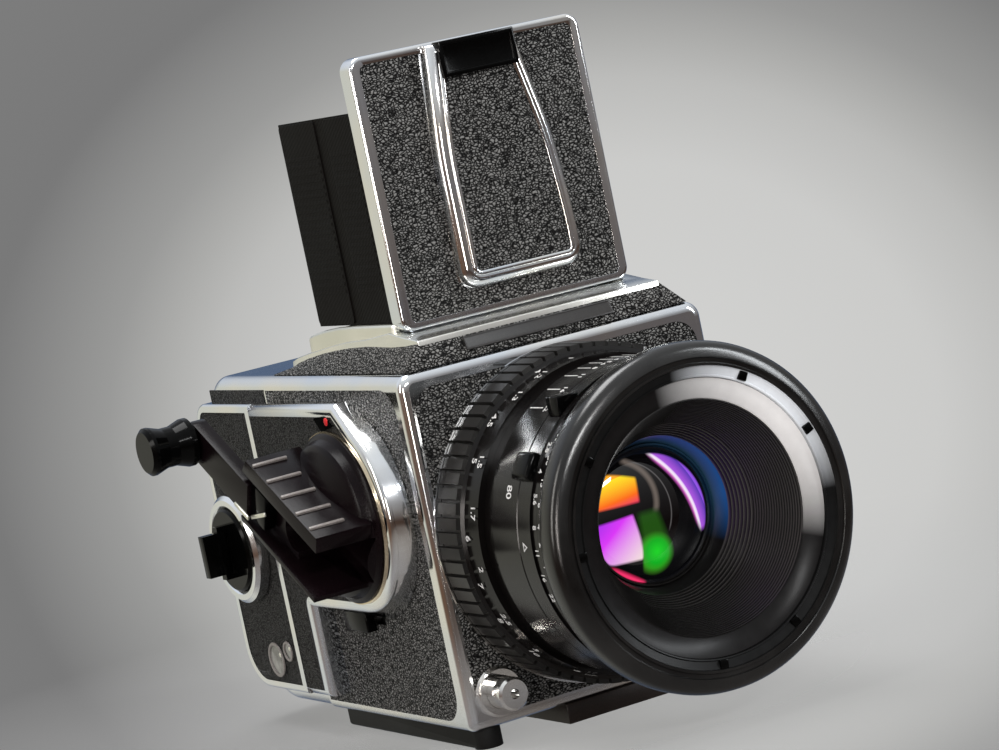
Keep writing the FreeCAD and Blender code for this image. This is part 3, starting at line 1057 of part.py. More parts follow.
piece("rear_glass", turned("rear_lens", [(nought, -c.rear_glass_depth - 2),
                                         (c.rear_glass_radius, -c.rear_glass_depth),
                                         (tube_in, -c.rear_glass_depth), (tube_in, nought),
                                         (nought, nought + 0.4)], "-y", lens_at))
leaf_turns = [math.radians(18 + 72 * i) for i in range(5)]
leaf_corners = [V(float(c.iris_opening) * math.cos(turn), float(front - c.iris_depth),
                  float(c.lens_height) + float(c.iris_opening) * math.sin(turn)) for turn in leaf_turns]
iris_opening_face = Part.Face(Part.makePolygon(leaf_corners + leaf_corners[:1]))
iris_hole = plain("iris_hole", iris_opening_face.extrude(V(0, -3, 0)))
iris_disc = rod("iris_disc", "y", (nought, c.lens_height), c.bore_radius,
                (front - c.iris_depth - 1, front - c.iris_depth))
piece("iris_blades", cut("iris", iris_disc, iris_hole))
tab = box("tab", (-24 + nought, -18 + nought),
          (front - c.tab_depth - c.tab_length / 2, front - c.tab_depth + c.tab_length / 2 - 0.6),
          (c.lens_height + c.barrel_radius * 0.7, c.tab_top))
tab_limit = rod("tab_limit", "y", (nought, c.lens_height), c.barrel_radius + gap, (front - 60, front - 20))
piece("preview_tab", cut("preview", tab, tab_limit))

# Every object and piece is sound before anything is written.
doc.recompute()
for item in doc.Objects:
    if "Invalid" in item.State or "Error" in item.State:
        raise RuntimeError(f"{item.Name} is not sound: {item.State}")
for name, item in pieces.items():
    if item.Shape.isNull() or not item.Shape.isValid() or not item.Shape.Solids:
        raise RuntimeError(f"{name} has no valid solid")
    print(name, len(item.Shape.Solids), round(item.Shape.Volume, 1))
print(len(pieces), "pieces")
os.makedirs("parts", exist_ok=True)
for name, item in pieces.items():
    item.Shape.exportStep(f"parts/{name}.step")
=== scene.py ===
import json
import math
import bmesh
import bpy
from mathutils import Matrix, Vector

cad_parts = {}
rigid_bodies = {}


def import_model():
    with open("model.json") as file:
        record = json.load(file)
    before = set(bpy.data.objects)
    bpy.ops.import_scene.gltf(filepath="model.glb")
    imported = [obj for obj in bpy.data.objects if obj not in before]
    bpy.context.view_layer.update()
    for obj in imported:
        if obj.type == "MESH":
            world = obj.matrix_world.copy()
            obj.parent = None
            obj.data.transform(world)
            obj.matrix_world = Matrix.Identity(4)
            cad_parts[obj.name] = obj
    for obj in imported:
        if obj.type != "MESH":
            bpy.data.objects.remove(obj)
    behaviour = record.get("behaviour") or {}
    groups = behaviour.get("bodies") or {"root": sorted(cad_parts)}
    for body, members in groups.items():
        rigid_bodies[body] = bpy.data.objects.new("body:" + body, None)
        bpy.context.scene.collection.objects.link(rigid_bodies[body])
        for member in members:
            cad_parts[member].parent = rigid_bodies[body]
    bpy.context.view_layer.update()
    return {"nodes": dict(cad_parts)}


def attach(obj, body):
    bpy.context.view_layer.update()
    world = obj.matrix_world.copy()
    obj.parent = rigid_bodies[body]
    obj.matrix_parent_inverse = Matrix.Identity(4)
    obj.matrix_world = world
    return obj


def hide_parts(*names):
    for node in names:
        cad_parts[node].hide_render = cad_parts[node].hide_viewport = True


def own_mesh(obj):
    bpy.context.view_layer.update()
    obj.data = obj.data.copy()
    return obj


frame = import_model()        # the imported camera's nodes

mm = 0.001
lensHeight = 49.8        # the lens's axis over the base, in mm like every size below
frontFace = -36.0        # the body's front
crankPlace = {"x": -48.6, "y": -1.4, "z": 59.2, "tilt": 30}
print("frame loaded", len(frame["nodes"]), "nodes")


# Shader maths: a wired value that adds its own nodes.
class Wire:
    def __init__(self, look, socket):
        self.look = look
        self.socket = socket

    def sum(self, operation, first, second):
        return self.look.node("ShaderNodeMath", {"operation": operation}, {0: first, 1: second})

    def __add__(self, other):
        return self.sum("ADD", self, other)

    def __sub__(self, other):
        return self.sum("SUBTRACT", self, other)

    def __mul__(self, other):
        return self.sum("MULTIPLY", self, other)

    def __truediv__(self, other):
        return self.sum("DIVIDE", self, other)

    def __pow__(self, other):
        return self.sum("POWER", self, other)

    def __radd__(self, other):
        return self.sum("ADD", other, self)

    def __rsub__(self, other):
        return self.sum("SUBTRACT", other, self)

    def __rmul__(self, other):
        return self.sum("MULTIPLY", other, self)

    def clamped(self):
        return self.look.node("ShaderNodeClamp", {}, {0: self, 1: 0.0, 2: 1.0})

    def most(self, other):
        return self.sum("MAXIMUM", self, other)

    def wave(self):
        return self.look.node("ShaderNodeMath", {"operation": "SINE"}, {0: self})


class Look:
    def __init__(self, name, **values):
        self.material = bpy.data.materials.new(name)
        self.material.use_nodes = True
        self.tree = self.material.node_tree
        self.shader = self.tree.nodes["Principled BSDF"]
        self.set(**values)

    # One method adds any node: its type, its settings, then the values or links of its sockets.
    def node(self, kind, settings=None, values=None, out=0):
        item = self.tree.nodes.new(kind)
        for name, value in (settings or {}).items():
            if name == "stops":
                stops = item.color_ramp.elements
                for place in range(len(value)):
                    stop = stops[place] if place < 2 else stops.new(0.5)
                    stop.position = value[place][0]
                    stop.color = (*value[place][1], 1)
            else:
                setattr(item, name, value)
        for name, value in (values or {}).items():
            self.plug(item.inputs[name], value)
        return Wire(self, item.outputs[out])

    def plug(self, socket, value):
        if isinstance(value, Wire):
            self.tree.links.new(value.socket, socket)
        elif socket.type == "RGBA" and len(value) == 3:
            socket.default_value = (*value, 1)
        else:
            socket.default_value = value

    def set(self, **values):
        for name, value in values.items():
            words = "".join(" " + letter if letter.isupper() else letter for letter in name)
            words = words[0].upper() + words[1:]
            self.plug(self.shader.inputs[words.replace("Specular", "Specular IOR Level")], value)
        return self

    def place(self):
        return self.node("ShaderNodeTexCoord", {}, {}, 3)

    def along(self, axis):
        return self.node("ShaderNodeSeparateXYZ", {}, {0: self.place()}, axis)

    # The place across the lens, in mm from its axis.
    def acrossLens(self):
        return self.along(0) * 1000, self.along(2) * 1000 - lensHeight

    def noise(self, scale, detail=2.0, vector=None, out=0):
        values = {"Vector": vector or self.place(), "Scale": scale, "Detail": detail}
        return self.node("ShaderNodeTexNoise", {}, values, out)

    def mixed(self, factor, first, second):
        return self.node("ShaderNodeMix", {"data_type": "RGBA"}, {0: factor, 6: first, 7: second}, 2)

    def ramp(self, factor, *stops):
        return self.node("ShaderNodeValToRGB", {"stops": stops}, {0: factor})

    def bump(self, height, depth, strength=1.0):
        values = {"Height": height, "Distance": depth, "Strength": strength}
        return self.set(normal=self.node("ShaderNodeBump", {}, values))


# Leather: rounded grains between dark creases. Its own colour is nearly black; the light on the crests is a
# painted glint, and the creases hold painted shade.
def grainedLeather(name, cell, depth, gloss, crest, shine):
    look = Look(name, specular=shine)
    drift = look.noise(1 / (cell * 3.0), 2.0, look.place(), 1)
    nudge = look.node("ShaderNodeVectorMath", {"operation": "MULTIPLY_ADD"},
                      {0: drift, 1: (cell * 2.2,) * 3, 2: look.place()})
    stretched = look.node("ShaderNodeMapping", {}, {"Vector": nudge, "Scale": (0.85, 0.85, 1.3),
                                                    "Rotation": (0.25, 0.45, 0.25)})
    creases = look.node("ShaderNodeTexVoronoi", {"feature": "DISTANCE_TO_EDGE"},
                        {"Vector": stretched, "Scale": 1 / cell, "Randomness": 1.0})
    fine = look.noise(5.5 / cell, 3.0)
    patchy = look.noise(0.35 / cell, 2.0)
    groove = (creases * 4.2).clamped()
    # Painted glints on the crests and painted shade in the creases.
    paintedGlintsAndShade = groove * (0.55 + patchy * 0.5) * (0.35 + fine * 1.1)
    tone = look.ramp(paintedGlintsAndShade, (0.0, (0.0006, 0.0005, 0.0005)), (0.2, (0.004, 0.0036, 0.0034)),
                     (0.38, tuple(part * 0.25 for part in crest)), (0.62, crest))
    look.set(baseColor=tone, roughness=gloss + 0.25 * (1 - groove) + fine * 0.12)
    return look.bump(groove + fine * 0.25 + (creases * 2.0).clamped() * 0.4, depth)


# Plated metal: cool and warm clouds in its colour, a mild painted tint of coloured reflections, and
# hairline wear in its gloss.
def brightMetal(name, cool, warm, roughness, streak=(1, 1, 1)):
    look = Look(name, metallic=1.0)
    stretched = look.node("ShaderNodeMapping", {}, {"Vector": look.place(), "Scale": streak})
    cloud = look.noise(45, 2.0, stretched)
    hair = look.noise(900, 3.0)
    look.set(baseColor=look.ramp(cloud, (0.35, cool), (0.65, warm)),
             roughness=roughness + 0.09 * look.noise(130, 4.0) + 0.03 * hair)
    return look.bump(hair, 0.00001, 0.25)


# Painted metal, plastic and rubber: a dark tone with lighter specks.
def darkMetal(name, tone, light, roughness, grain, depth, shine=0.3):
    look = Look(name, specular=shine)
    cloud = look.noise(70, 3.0)
    specks = look.noise(1 / grain, 3.0)
    worn = look.ramp(specks * 0.6 + cloud * 0.4, (0.42, (0, 0, 0)), (0.72, (1, 1, 1)))
    look.set(baseColor=look.mixed(worn, tone, light), roughness=roughness + 0.14 * cloud)
    return look.bump(specks, depth, 0.8)


looks = {
    "leather": grainedLeather("bodyLeather", 0.8 * mm, 0.34 * mm, 0.28, (0.23, 0.225, 0.215), 0.14),
    "fineLeather": grainedLeather("casingLeather", 0.62 * mm, 0.16 * mm, 0.34, (0.06, 0.058, 0.055), 0.12),
    "chrome": brightMetal("polishedChrome", (0.80, 0.84, 0.90), (0.90, 0.88, 0.84), 0.05),
    "satinChrome": brightMetal("satinChrome", (0.80, 0.80, 0.76), (0.90, 0.88, 0.82), 0.16, (1, 1, 6)),
    "steel": brightMetal("dullSteel", (0.50, 0.51, 0.52), (0.62, 0.60, 0.58), 0.26),
    "brass": brightMetal("crankRimBrass", (0.72, 0.60, 0.42), (0.82, 0.70, 0.52), 0.14),
    "crank": darkMetal("crankPaint", (0.0025, 0.0012, 0.0016), (0.010, 0.005, 0.0065), 0.15, 0.22 * mm,
                       0.03 * mm, 0.12),
    "lens": darkMetal("lensBlack", (0.0025, 0.002, 0.0019), (0.0075, 0.006, 0.0056), 0.1, 0.3 * mm,
                      0.004 * mm, 0.3),
    "satin": darkMetal("frontRingBlack", (0.002, 0.002, 0.002), (0.016, 0.015, 0.014), 0.13, 0.16 * mm,
                       0.015 * mm, 0.6),
    "rubber": darkMetal("gripRubber", (0.010, 0.0095, 0.009), (0.030, 0.028, 0.026), 0.30, 0.25 * mm,
                        0.03 * mm, 0.35),
    "plastic": darkMetal("glossPlastic", (0.001, 0.001, 0.001), (0.0022, 0.0022, 0.0022), 0.06, 0.5 * mm,
                         0.004 * mm, 0.1),
    "matt": darkMetal("mattBlack", (0.003, 0.003, 0.003), (0.008, 0.0078, 0.0075), 0.5, 0.2 * mm, 0.02 * mm,
                      0.2),
    "groundGlass": darkMetal("groundGlass", (0.10, 0.105, 0.11), (0.17, 0.175, 0.18), 0.3, 0.2 * mm,
                             0.01 * mm, 0.4),
    "plate": darkMetal("barePlate", (0.012, 0.0105, 0.010), (0.040, 0.036, 0.033), 0.3, 0.12 * mm,
                       0.02 * mm, 0.4),
    "underside": darkMetal("couplingPlate", (0.012, 0.008, 0.0065), (0.030, 0.020, 0.016), 0.3, 0.3 * mm,
                           0.02 * mm, 0.4),
}


# Folding leaves: thin black sheet metal with a fine level ribbing.
def leafLook():
    look = Look("leafPaint", specular=0.07)
    cloud = look.noise(60, 3.0)
    fine = (look.along(1) * (2 * math.pi / (0.85 * mm))).wave()
    tone = look.ramp(fine * 0.25 + cloud * 0.6, (0.0, (0.001, 0.0008, 0.0007)),
                     (1.0, (0.008, 0.0062, 0.005)))
    look.set(baseColor=tone, roughness=0.45 + cloud * 0.2)
    return look.bump(fine, 0.05 * mm, 0.7)


def inkLook(name, tone):
    look = Look(name)
    wear = look.noise(900, 3.0)
    worn = tuple(part * 0.55 for part in tone)
    return look.set(baseColor=look.ramp(wear, (0.25, worn), (0.5, tone)), roughness=0.4 + 0.1 * wear)


# Coated front glass: painted reflections of its coating, soft coloured shapes that glow, fixed on the
# glass, in mm from its middle.
glassEdge = 15.2


def glassLook():
    look = Look("coatedGlass", roughness=0.02, coatWeight=0.6, coatRoughness=0.0, emissionStrength=1.0)
    x, z = look.acrossLens()

    def reach(centre):
        return ((x - centre[0]) ** 2.0 + (z - centre[1]) ** 2.0) ** 0.5

    def patch(corners, soft):
        mask = 1.0
        for start, end in zip(corners, corners[1:] + corners[:1]):
            run, rise = end[0] - start[0], end[1] - start[1]
            length = math.hypot(run, rise) * soft
            across = (x - start[0]) * (-rise / length) + (z - start[1]) * (run / length) + 0.5
            mask = across.clamped() * mask
        return mask

    def arc(centre, inner, outer, soft):
        return ((reach(centre) - inner) / soft).clamped() * ((outer - reach(centre)) / soft).clamped()

    edge = ((16.0 - reach((0, -0.6))) / 0.5).clamped()
    bow = reach((-18, -8))
    # Painted reflections: each mask with its colour, glowing by emission.
    paintedReflections = (
        (arc((-8.8, 5.0), 8.9, 11.1, 0.9) * patch([(-5, 16), (-5, 1), (3, 1), (3, 16)], 1.5),
         (0.13, 0.105, 0.09)),
        (arc((-8.0, 2.0), 12.45, 12.95, 0.2) * patch([(-3, 16), (-3, -4), (6, -4), (6, 16)], 1.5),
         (0.09, 0.085, 0.085)),
        (patch([(-17, 4.2), (-3.5, 4.1), (-2.9, 9.8), (-8.6, 11.8), (-17, 13)], 0.7),
         look.ramp((z - 4.0) / 7.5 - (x + 3) * 0.02, (0.0, (0.85, 0.03, 0.12)), (0.3, (1.0, 0.14, 0.0)),
                   (0.62, (1.0, 0.40, 0.0)), (1.0, (1.0, 0.78, 0.0)))),
        (patch([(-17, 0.6), (-16.5, -7), (-12.6, -9.3), (-5.1, -9.5), (-4.4, -7.9), (-5.9, 1.5)], 0.7),
         look.ramp((x + 16) * 0.045 - z * 0.05, (0.0, (0.40, 0.03, 0.85)), (0.3, (0.72, 0.04, 0.95)),
                   (0.52, (0.90, 0.22, 0.88)), (0.78, (0.95, 0.62, 0.78)), (1.0, (0.92, 0.80, 0.72)))),
        (patch([(-4.4, 1.2), (-4.6, -6.5), (2.2, -6.5), (0.6, 1.2)], 1.8), (0.012, 0.075, 0.004)),
        (arc((-1.7, -8.9), -2.0, 5.4, 1.8) * patch([(-4.5, 1), (-5.4, -17), (4, -17), (3, 1)], 0.6),
         look.ramp(reach((-1.2, -8.6)) / 5.5, (0.0, (0.0, 0.66, 0.01)), (0.5, (0.0, 0.42, 0.01)),
                   (1.0, (0.05, 0.22, 0.01)))),
        (patch([(-17, -6.8), (-13, -17), (-4.6, -17), (-5.0, -10.4), (-12.6, -9.8)], 0.9),
         (0.95, 0.03, 0.15)),
        (((bow - 28.9) / 0.7).clamped() * patch([(2, 15), (12.6, -6.8), (17, -5.6), (17, 15)], 1.2)
         * ((15.3 - reach((0, -0.6))) / 0.5).clamped(),
         look.ramp((bow - 28.6) / 5.0, (0.0, (0.30, 0.03, 0.30)), (0.2, (0.62, 0.12, 0.52)),
                   (0.3, (0.95, 0.86, 0.98)), (0.38, (0.90, 0.72, 0.98)), (0.46, (0.42, 0.10, 0.75)),
                   (0.66, (0.30, 0.09, 0.80)), (1.0, (0.10, 0.04, 0.45)))),
    )
    colour = (0.0, 0.0, 0.0)
    for mask, tone in paintedReflections:
        colour = look.mixed(mask * edge, colour, tone)
    body = look.ramp(((reach((0, 0)) - glassEdge) / 0.8).clamped(), (0.0, (0.002, 0.002, 0.003)),
                     (1.0, (0.012, 0.012, 0.016)))
    return look.set(baseColor=body, emissionColor=colour)


# Window glass: dark, with bright random patches that are painted highlights.
def clearGlass():
    look = Look("windowGlass", coatWeight=0.8)
    cloud = look.noise(260, 2.0)
    tone = look.ramp(cloud, (0.35, (0.012, 0.010, 0.008)), (0.62, (0.06, 0.055, 0.045)),
                     (0.75, (0.34, 0.33, 0.31)))
    return look.set(baseColor=tone, roughness=0.08 + 0.1 * cloud)


# Mouth of the lens: radii, and depths in front of the body. Tread and lip are parts of one step.
coneSizes = {"rim": 32.4, "rimDepth": 56.1, "name": 27.6, "nameDepth": 54.8, "steps": 20, "wide": 6,
             "foot": 21.6, "footDepth": 41.0, "ledge": 18.8, "ledgeDepth": 35.2, "tread": 0.68, "lip": 0.12,
             "seat": ((18.6, 34.9), (17.2, 31.0), (17.0, 30.6), (16.9, 31.2), (16.5, 31.2), (16.4, 30.4),
                      (16.0, 29.8)),
             "pitch": 0.3, "widePitch": 0.4667, "facets": 160}


# Inner wall of the lens: fine dark steps with painted highlights on their grooves, and deep inside a smooth
# one with a painted blue sheen on its side towards the upper right.
def coneLook():
    look = Look("coneBlack", specular=0.3)
    x, z = look.acrossLens()
    cloud = look.noise(300, 3.0)
    distance = (x * x + z * z) ** 0.5
    deep = ((look.along(1) * 1000 - frontFace + coneSizes["ledgeDepth"] + 0.2) / 0.4).clamped()
    facing = (x * 0.77 + z * 0.64) / distance
    paintedSheenSide = deep * ((facing - 0.30) / 0.5).clamped()
    fine = ((distance * (2 * math.pi / coneSizes["pitch"])).wave() * 0.5 + 0.5) ** 3.0
    coarse = ((distance * (2 * math.pi / coneSizes["widePitch"])).wave() * 0.5 + 0.5) ** 4.0
    outer = ((distance - coneSizes["foot"]) * 4.0).clamped()
    grooveGlints = (fine * outer * 0.5 + coarse * (1 - outer) * (1 - deep)) * ((facing + 1.2) / 2.0).clamped()
    dark = look.mixed(cloud * 0.4, (0.003, 0.0028, 0.0027), (0.016, 0.0145, 0.0135))
    paintedBlueSheen = look.ramp((distance - 16.7) / 2.1, (0.0, (0.006, 0.03, 0.06)), (0.35, (0.03, 0.09, 0.15)),
                      (0.55, (0.24, 0.29, 0.31)), (0.75, (0.10, 0.20, 0.33)), (1.0, (0.015, 0.13, 0.45)))
    darkWithGrooveGlints = look.mixed(grooveGlints, dark, (0.15, 0.14, 0.135))
    look.set(baseColor=look.mixed(paintedSheenSide, darkWithGrooveGlints, paintedBlueSheen), roughness=0.24 + cloud * 0.14)
    return look.bump(cloud, 0.006 * mm, 0.5)


# Ring of the mouth: satin metal with a painted highlight that makes it brighter in one sector.
def nameRingLook(name, low, high, sector, spread):
    look = Look(name, specular=0.14)
    x, z = look.acrossLens()
    distance = (x * x + z * z) ** 0.5
    turn = math.radians(sector)
    facing = (x * math.cos(turn) + z * math.sin(turn)) / distance
    edge = math.cos(math.radians(spread))
    paintedHighlight = ((facing - edge) / (1 - edge)).clamped()
    cloud = look.noise(420, 3.0)
    shade = look.mixed(cloud, low, tuple(part * 1.8 for part in low))
    look.set(baseColor=look.mixed(paintedHighlight * (0.9 + cloud * 0.15), shade, high),
             roughness=0.25 + cloud * 0.12)
    return look.bump(cloud, 0.003 * mm, 0.5)


looks["leaf"] = leafLook()
looks["whiteInk"] = inkLook("whiteInk", (0.80, 0.78, 0.76))
looks["redDot"] = inkLook("redDot", (0.75, 0.01, 0.015))
looks["coatedGlass"] = glassLook()
looks["glass"] = clearGlass()
looks["cone"] = coneLook()
looks["nameRing"] = nameRingLook("nameRing", (0.004, 0.0035, 0.0035), (0.97, 0.94, 0.92), 40, 62)
looks["mouthWall"] = nameRingLook("mouthWall", (0.004, 0.004, 0.004), (0.85, 0.87, 0.90), 46, 48)
# Cream satin metal: on the finder base its cream tone is partly a painted warm reflection; on small strips
# and domes it is a painted glint.
looks["cream"] = brightMetal("creamMetal", (0.80, 0.79, 0.70), (0.88, 0.86, 0.77), 0.3)
looks["windowRim"] = darkMetal("windowRim", (0.16, 0.14, 0.13), (0.34, 0.31, 0.29), 0.25, 0.3 * mm,
                               0.01 * mm, 0.5)

nodeLooks = {
    "chrome": ("body_shell", "side_casing", "magazine_shell", "release_collar", "release_button",
               "lens_lock_button", "lens_flange", "key_ring", "hood_lid", "finder_base"),
    "leather": ("body_leather", "lid_leather", "top_cover", "magazine_leather"),
    "fineLeather": ("casing_leather", "insert_leather"),
    "steel": ("accessory_rail", "dark_slide", "rear_frame", "crank_gear", "idler_gear", "output_gear",
              "magazine_gear"),
    "brass": ("crank_rim",),
    "crank": ("crank_hub", "crank_arm"),
    "lens": ("lens_barrel", "distance_ring", "aperture_ring", "speed_ring"),
    "satin": ("front_ring",),
    "rubber": ("focus_grip",),
    "plastic": ("crank_knob", "film_key", "key_wing", "preview_tab", "magazine_release",
                "prerelease_slider"),
    "matt": ("mirror_box", "mirror_frame", "upper_flap", "lower_flap", "iris_blades", "film_insert",
             "take_up_spool", "feed_spool", "magnifier_arm", "foot_rails", "lid_catch"),
    "underside": ("base_plate",),
    "leaf": ("hood_side_leaves", "hood_back_leaf"),
    "cone": ("lens_cone",),
    "coatedGlass": ("front_glass",),
    "groundGlass": ("focusing_screen",),
    "glass": ("mirror_glass", "rear_glass", "counter_windows", "magnifier_lens"),
}
for word, nodes in nodeLooks.items():
    for node in nodes:
        item = frame["nodes"][node]
        item.data.materials.clear()
        item.data.materials.append(looks[word].material)
print("materials made")


# Modelling: every new piece starts from a primitive and is shaped in edit mode.
def deselect():
    for item in bpy.context.view_layer.objects:
        item.select_set(False)


def begin(name, kind, **values):
    deselect()
    {"circle": bpy.ops.mesh.primitive_circle_add, "cube": bpy.ops.mesh.primitive_cube_add,
     "plane": bpy.ops.mesh.primitive_plane_add,
     "cylinder": bpy.ops.mesh.primitive_cylinder_add}[kind](**values)
    item = bpy.context.object
    item.name = item.data.name = name
    bpy.ops.object.transform_apply(location=True, rotation=True, scale=True)
    bpy.ops.object.mode_set(mode="EDIT")
    return item


def choose(item, kind, test):
    bpy.ops.mesh.select_mode(type=kind)
    bpy.ops.mesh.select_all(action="DESELECT")
    shape = bmesh.from_edit_mesh(item.data)
    for part in {"FACE": shape.faces, "EDGE": shape.edges, "VERT": shape.verts}[kind]:
        part.select_set(bool(test(part)))
    shape.select_flush_mode()
    bmesh.update_edit_mesh(item.data)


def modified(item, kind, **values):
    step = item.modifiers.new(kind.lower(), kind)
    for name, value in values.items():
        setattr(step, name, value)
    bpy.context.view_layer.objects.active = item
    bpy.ops.object.modifier_apply(modifier=step.name)


def leaveEdit():
    if bpy.context.mode != "OBJECT":
        bpy.ops.object.mode_set(mode="OBJECT")


# Insets of the chosen face, one for each pair of width and rise.
def insets(pairs):
    for width, rise in pairs:
        bpy.ops.mesh.inset(thickness=width * mm, depth=rise * mm)


# One step of a round form: inwards by an inset, outwards by an extrusion made wider.
def stepTo(radius, depth, state):
    if radius > state[0]:
        bpy.ops.mesh.extrude_region_move(TRANSFORM_OT_translate={"value": (0, 0, (depth - state[1]) * mm)})
        bpy.ops.transform.resize(value=(radius / state[0], radius / state[0], 1), center_override=(0, 0, 0))
    else:
        insets([(state[0] - radius, depth - state[1])])
    state[0], state[1] = radius, depth


# Every piece ends here: soft edges, smooth shading, its material, its body and what it replaces.
def finished(item, look, body, nodes=(), soft=0.0, segments=2, angle=32, outward=False):
    leaveEdit()
    deselect()
    item.select_set(True)
    bpy.context.view_layer.objects.active = item
    bpy.ops.object.transform_apply(location=True, rotation=True, scale=True)
    if outward:
        bpy.ops.object.mode_set(mode="EDIT")
        bpy.ops.mesh.select_all(action="SELECT")
        bpy.ops.mesh.remove_doubles(threshold=1e-6)
        bpy.ops.mesh.normals_make_consistent(inside=False)
        leaveEdit()
    if soft:
        modified(item, "BEVEL", width=soft, segments=segments, limit_method="ANGLE",
                 angle_limit=math.radians(30))
    bpy.ops.object.shade_smooth_by_angle(angle=math.radians(angle))
    item.data.materials.clear()
    item.data.materials.append(looks[look].material)
    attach(item, body)
    if nodes:
        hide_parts(*nodes)
    return item


def copied(name, mesh):
    item = bpy.data.objects.new(name, mesh.copy())
    bpy.context.scene.collection.objects.link(item)
    return item


def reopened(item):
    deselect()
    item.select_set(True)
    bpy.context.view_layer.objects.active = item
    bpy.ops.object.mode_set(mode="EDIT")


upright = Matrix.Rotation(math.radians(90), 4, "X")      # what was made flat then looks towards -Y


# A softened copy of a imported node, its hard edges rounded, with the same faces otherwise.
def softened(node, name, look, body, width, segments=2):
    item = copied(name, frame["nodes"][node].data)
    reopened(item)
    bpy.ops.mesh.select_all(action="SELECT")
    bpy.ops.mesh.remove_doubles(threshold=2e-6)
    bpy.ops.mesh.dissolve_limited(angle_limit=math.radians(0.6))
    return finished(item, look, body, [node], width, segments)


# A block between two corners, left in edit mode.
def openBlock(name, low, high):
    return begin(name, "cube", size=1, location=[(a + b) / 2 * mm for a, b in zip(low, high)],
                 scale=[(b - a) * mm for a, b in zip(low, high)])


def block(name, low, high):
    item = openBlock(name, low, high)
    leaveEdit()
    return item


# A flat face through the given points, left in edit mode.
def outlined(name, points):
    item = begin(name, "circle", vertices=len(points), radius=5 * mm, fill_type="NGON")
    spots = [spot.co.copy() for spot in bmesh.from_edit_mesh(item.data).verts]
    for place, (x, y) in enumerate(points):
        choose(item, "VERT", lambda spot: spot.index == place)
        bpy.ops.transform.translate(value=Vector((x * mm, y * mm, 0)) - spots[place])
    bpy.ops.mesh.select_all(action="SELECT")
    return item


def disc(name, radius, low, high, place=(0, 0), sides=96):
    item = begin(name, "cylinder", vertices=sides, radius=radius * mm, depth=(high - low) * mm,
                 location=(place[0] * mm, place[1] * mm, (low + high) / 2 * mm))
    leaveEdit()
    return item


def carved(item, tool, way="DIFFERENCE"):
    modified(item, "BOOLEAN", object=tool, operation=way, solver="EXACT")
    bpy.data.objects.remove(tool)


softEdges = {
    "key_wing": ("keyWing", "plastic", "wing", 1.2, "black_plastic"),
    "foot_rails": ("footRails", "matt", "camera", 0.5, "black_metal"),
    "base_plate": ("couplingPlate", "underside", "camera", 0.3, "black_metal"),
    "accessory_rail": ("accessoryRail", "steel", "camera", 0.2, "steel"),
    "preview_tab": ("previewTab", "plastic", "preview", 0.3, "black_plastic"),
    "prerelease_slider": ("prereleaseSlider", "plastic", "prerelease", 0.4, "black_metal"),
    "magazine_release": ("magazineRelease", "plastic", "latch", 0.3, "black_metal"),
}
for node, (name, look, body, width, slot) in softEdges.items():
    softened(node, name, look, body, width * mm)
print("edges softened")

# Lid: its plain frame, softened, and a tongue with rounded flanks on top.
lidSizes = {"low": 101.5, "front": -22.9, "corner": 5.2, "roundBelow": 60, "sheet": 0.5,
            "outline": ((-12.6, 67.4), (-15.1, 40.5), (-15.1, 6.7), (19.7, 6.7), (19.7, 20.25),
                        (18.1, 40.5), (15.6, 52.5), (12.4, 67.4)),
            "flank": ((0.02, 0.5), (0.25, 1.5), (0.8, 2.5), (1.7, 3.2), (2.5, 3.5), (2.9, 3.35),
                      (3.1, 3.75), (3.6, 3.9), (4.1, 3.75), (4.3, 3.3))}
lid = softened("hood_lid", "lidFrame", "chrome", "hood", 0)
reopened(lid)
choose(lid, "FACE", lambda face: face.calc_center_median().y < (lidSizes["front"] - 0.02) * mm)
bpy.ops.mesh.delete(type="FACE")
choose(lid, "EDGE", lambda edge: edge.is_boundary)
bpy.ops.mesh.edge_face_add()
finished(lid, "chrome", "hood", soft=0.45 * mm)
tongue = outlined("lidTongue", lidSizes["outline"][::-1])
choose(tongue, "VERT", lambda spot: spot.co.y < lidSizes["roundBelow"] * mm)
bpy.ops.mesh.bevel(offset=lidSizes["corner"] * mm, segments=6, affect="VERTICES", clamp_overlap=True)
bpy.ops.mesh.select_all(action="SELECT")
bpy.ops.mesh.normals_make_consistent(inside=False)
choose(tongue, "FACE", lambda face: len(face.verts) > 8)
if next(iter(bmesh.from_edit_mesh(tongue.data).faces)).normal.z < 0:
    bpy.ops.mesh.flip_normals()
state = [0, 0]
for inward, rise in lidSizes["flank"]:
    stepTo(-inward, rise, state)
bpy.ops.mesh.delete(type="FACE")
leaveEdit()
tongue.data.transform(Matrix.Translation((0, lidSizes["front"] * mm, lidSizes["low"] * mm)) @ upright)
modified(tongue, "SOLIDIFY", thickness=lidSizes["sheet"] * mm, offset=-1)
finished(tongue, "chrome", "hood", ["hood_lid"], angle=60)

catchSizes = {"block": ((-10.1, -28.3, 160.1), (10.9, -24.4, 169.0)), "frame": ((1.1, 0), (0.15, -0.5))}
catch = openBlock("catchBlock", *catchSizes["block"])
choose(catch, "FACE", lambda face: face.normal.y < -0.9)
insets(catchSizes["frame"])
finished(catch, "plastic", "catch", ["lid_catch"], 0.3 * mm)
print("lid made")

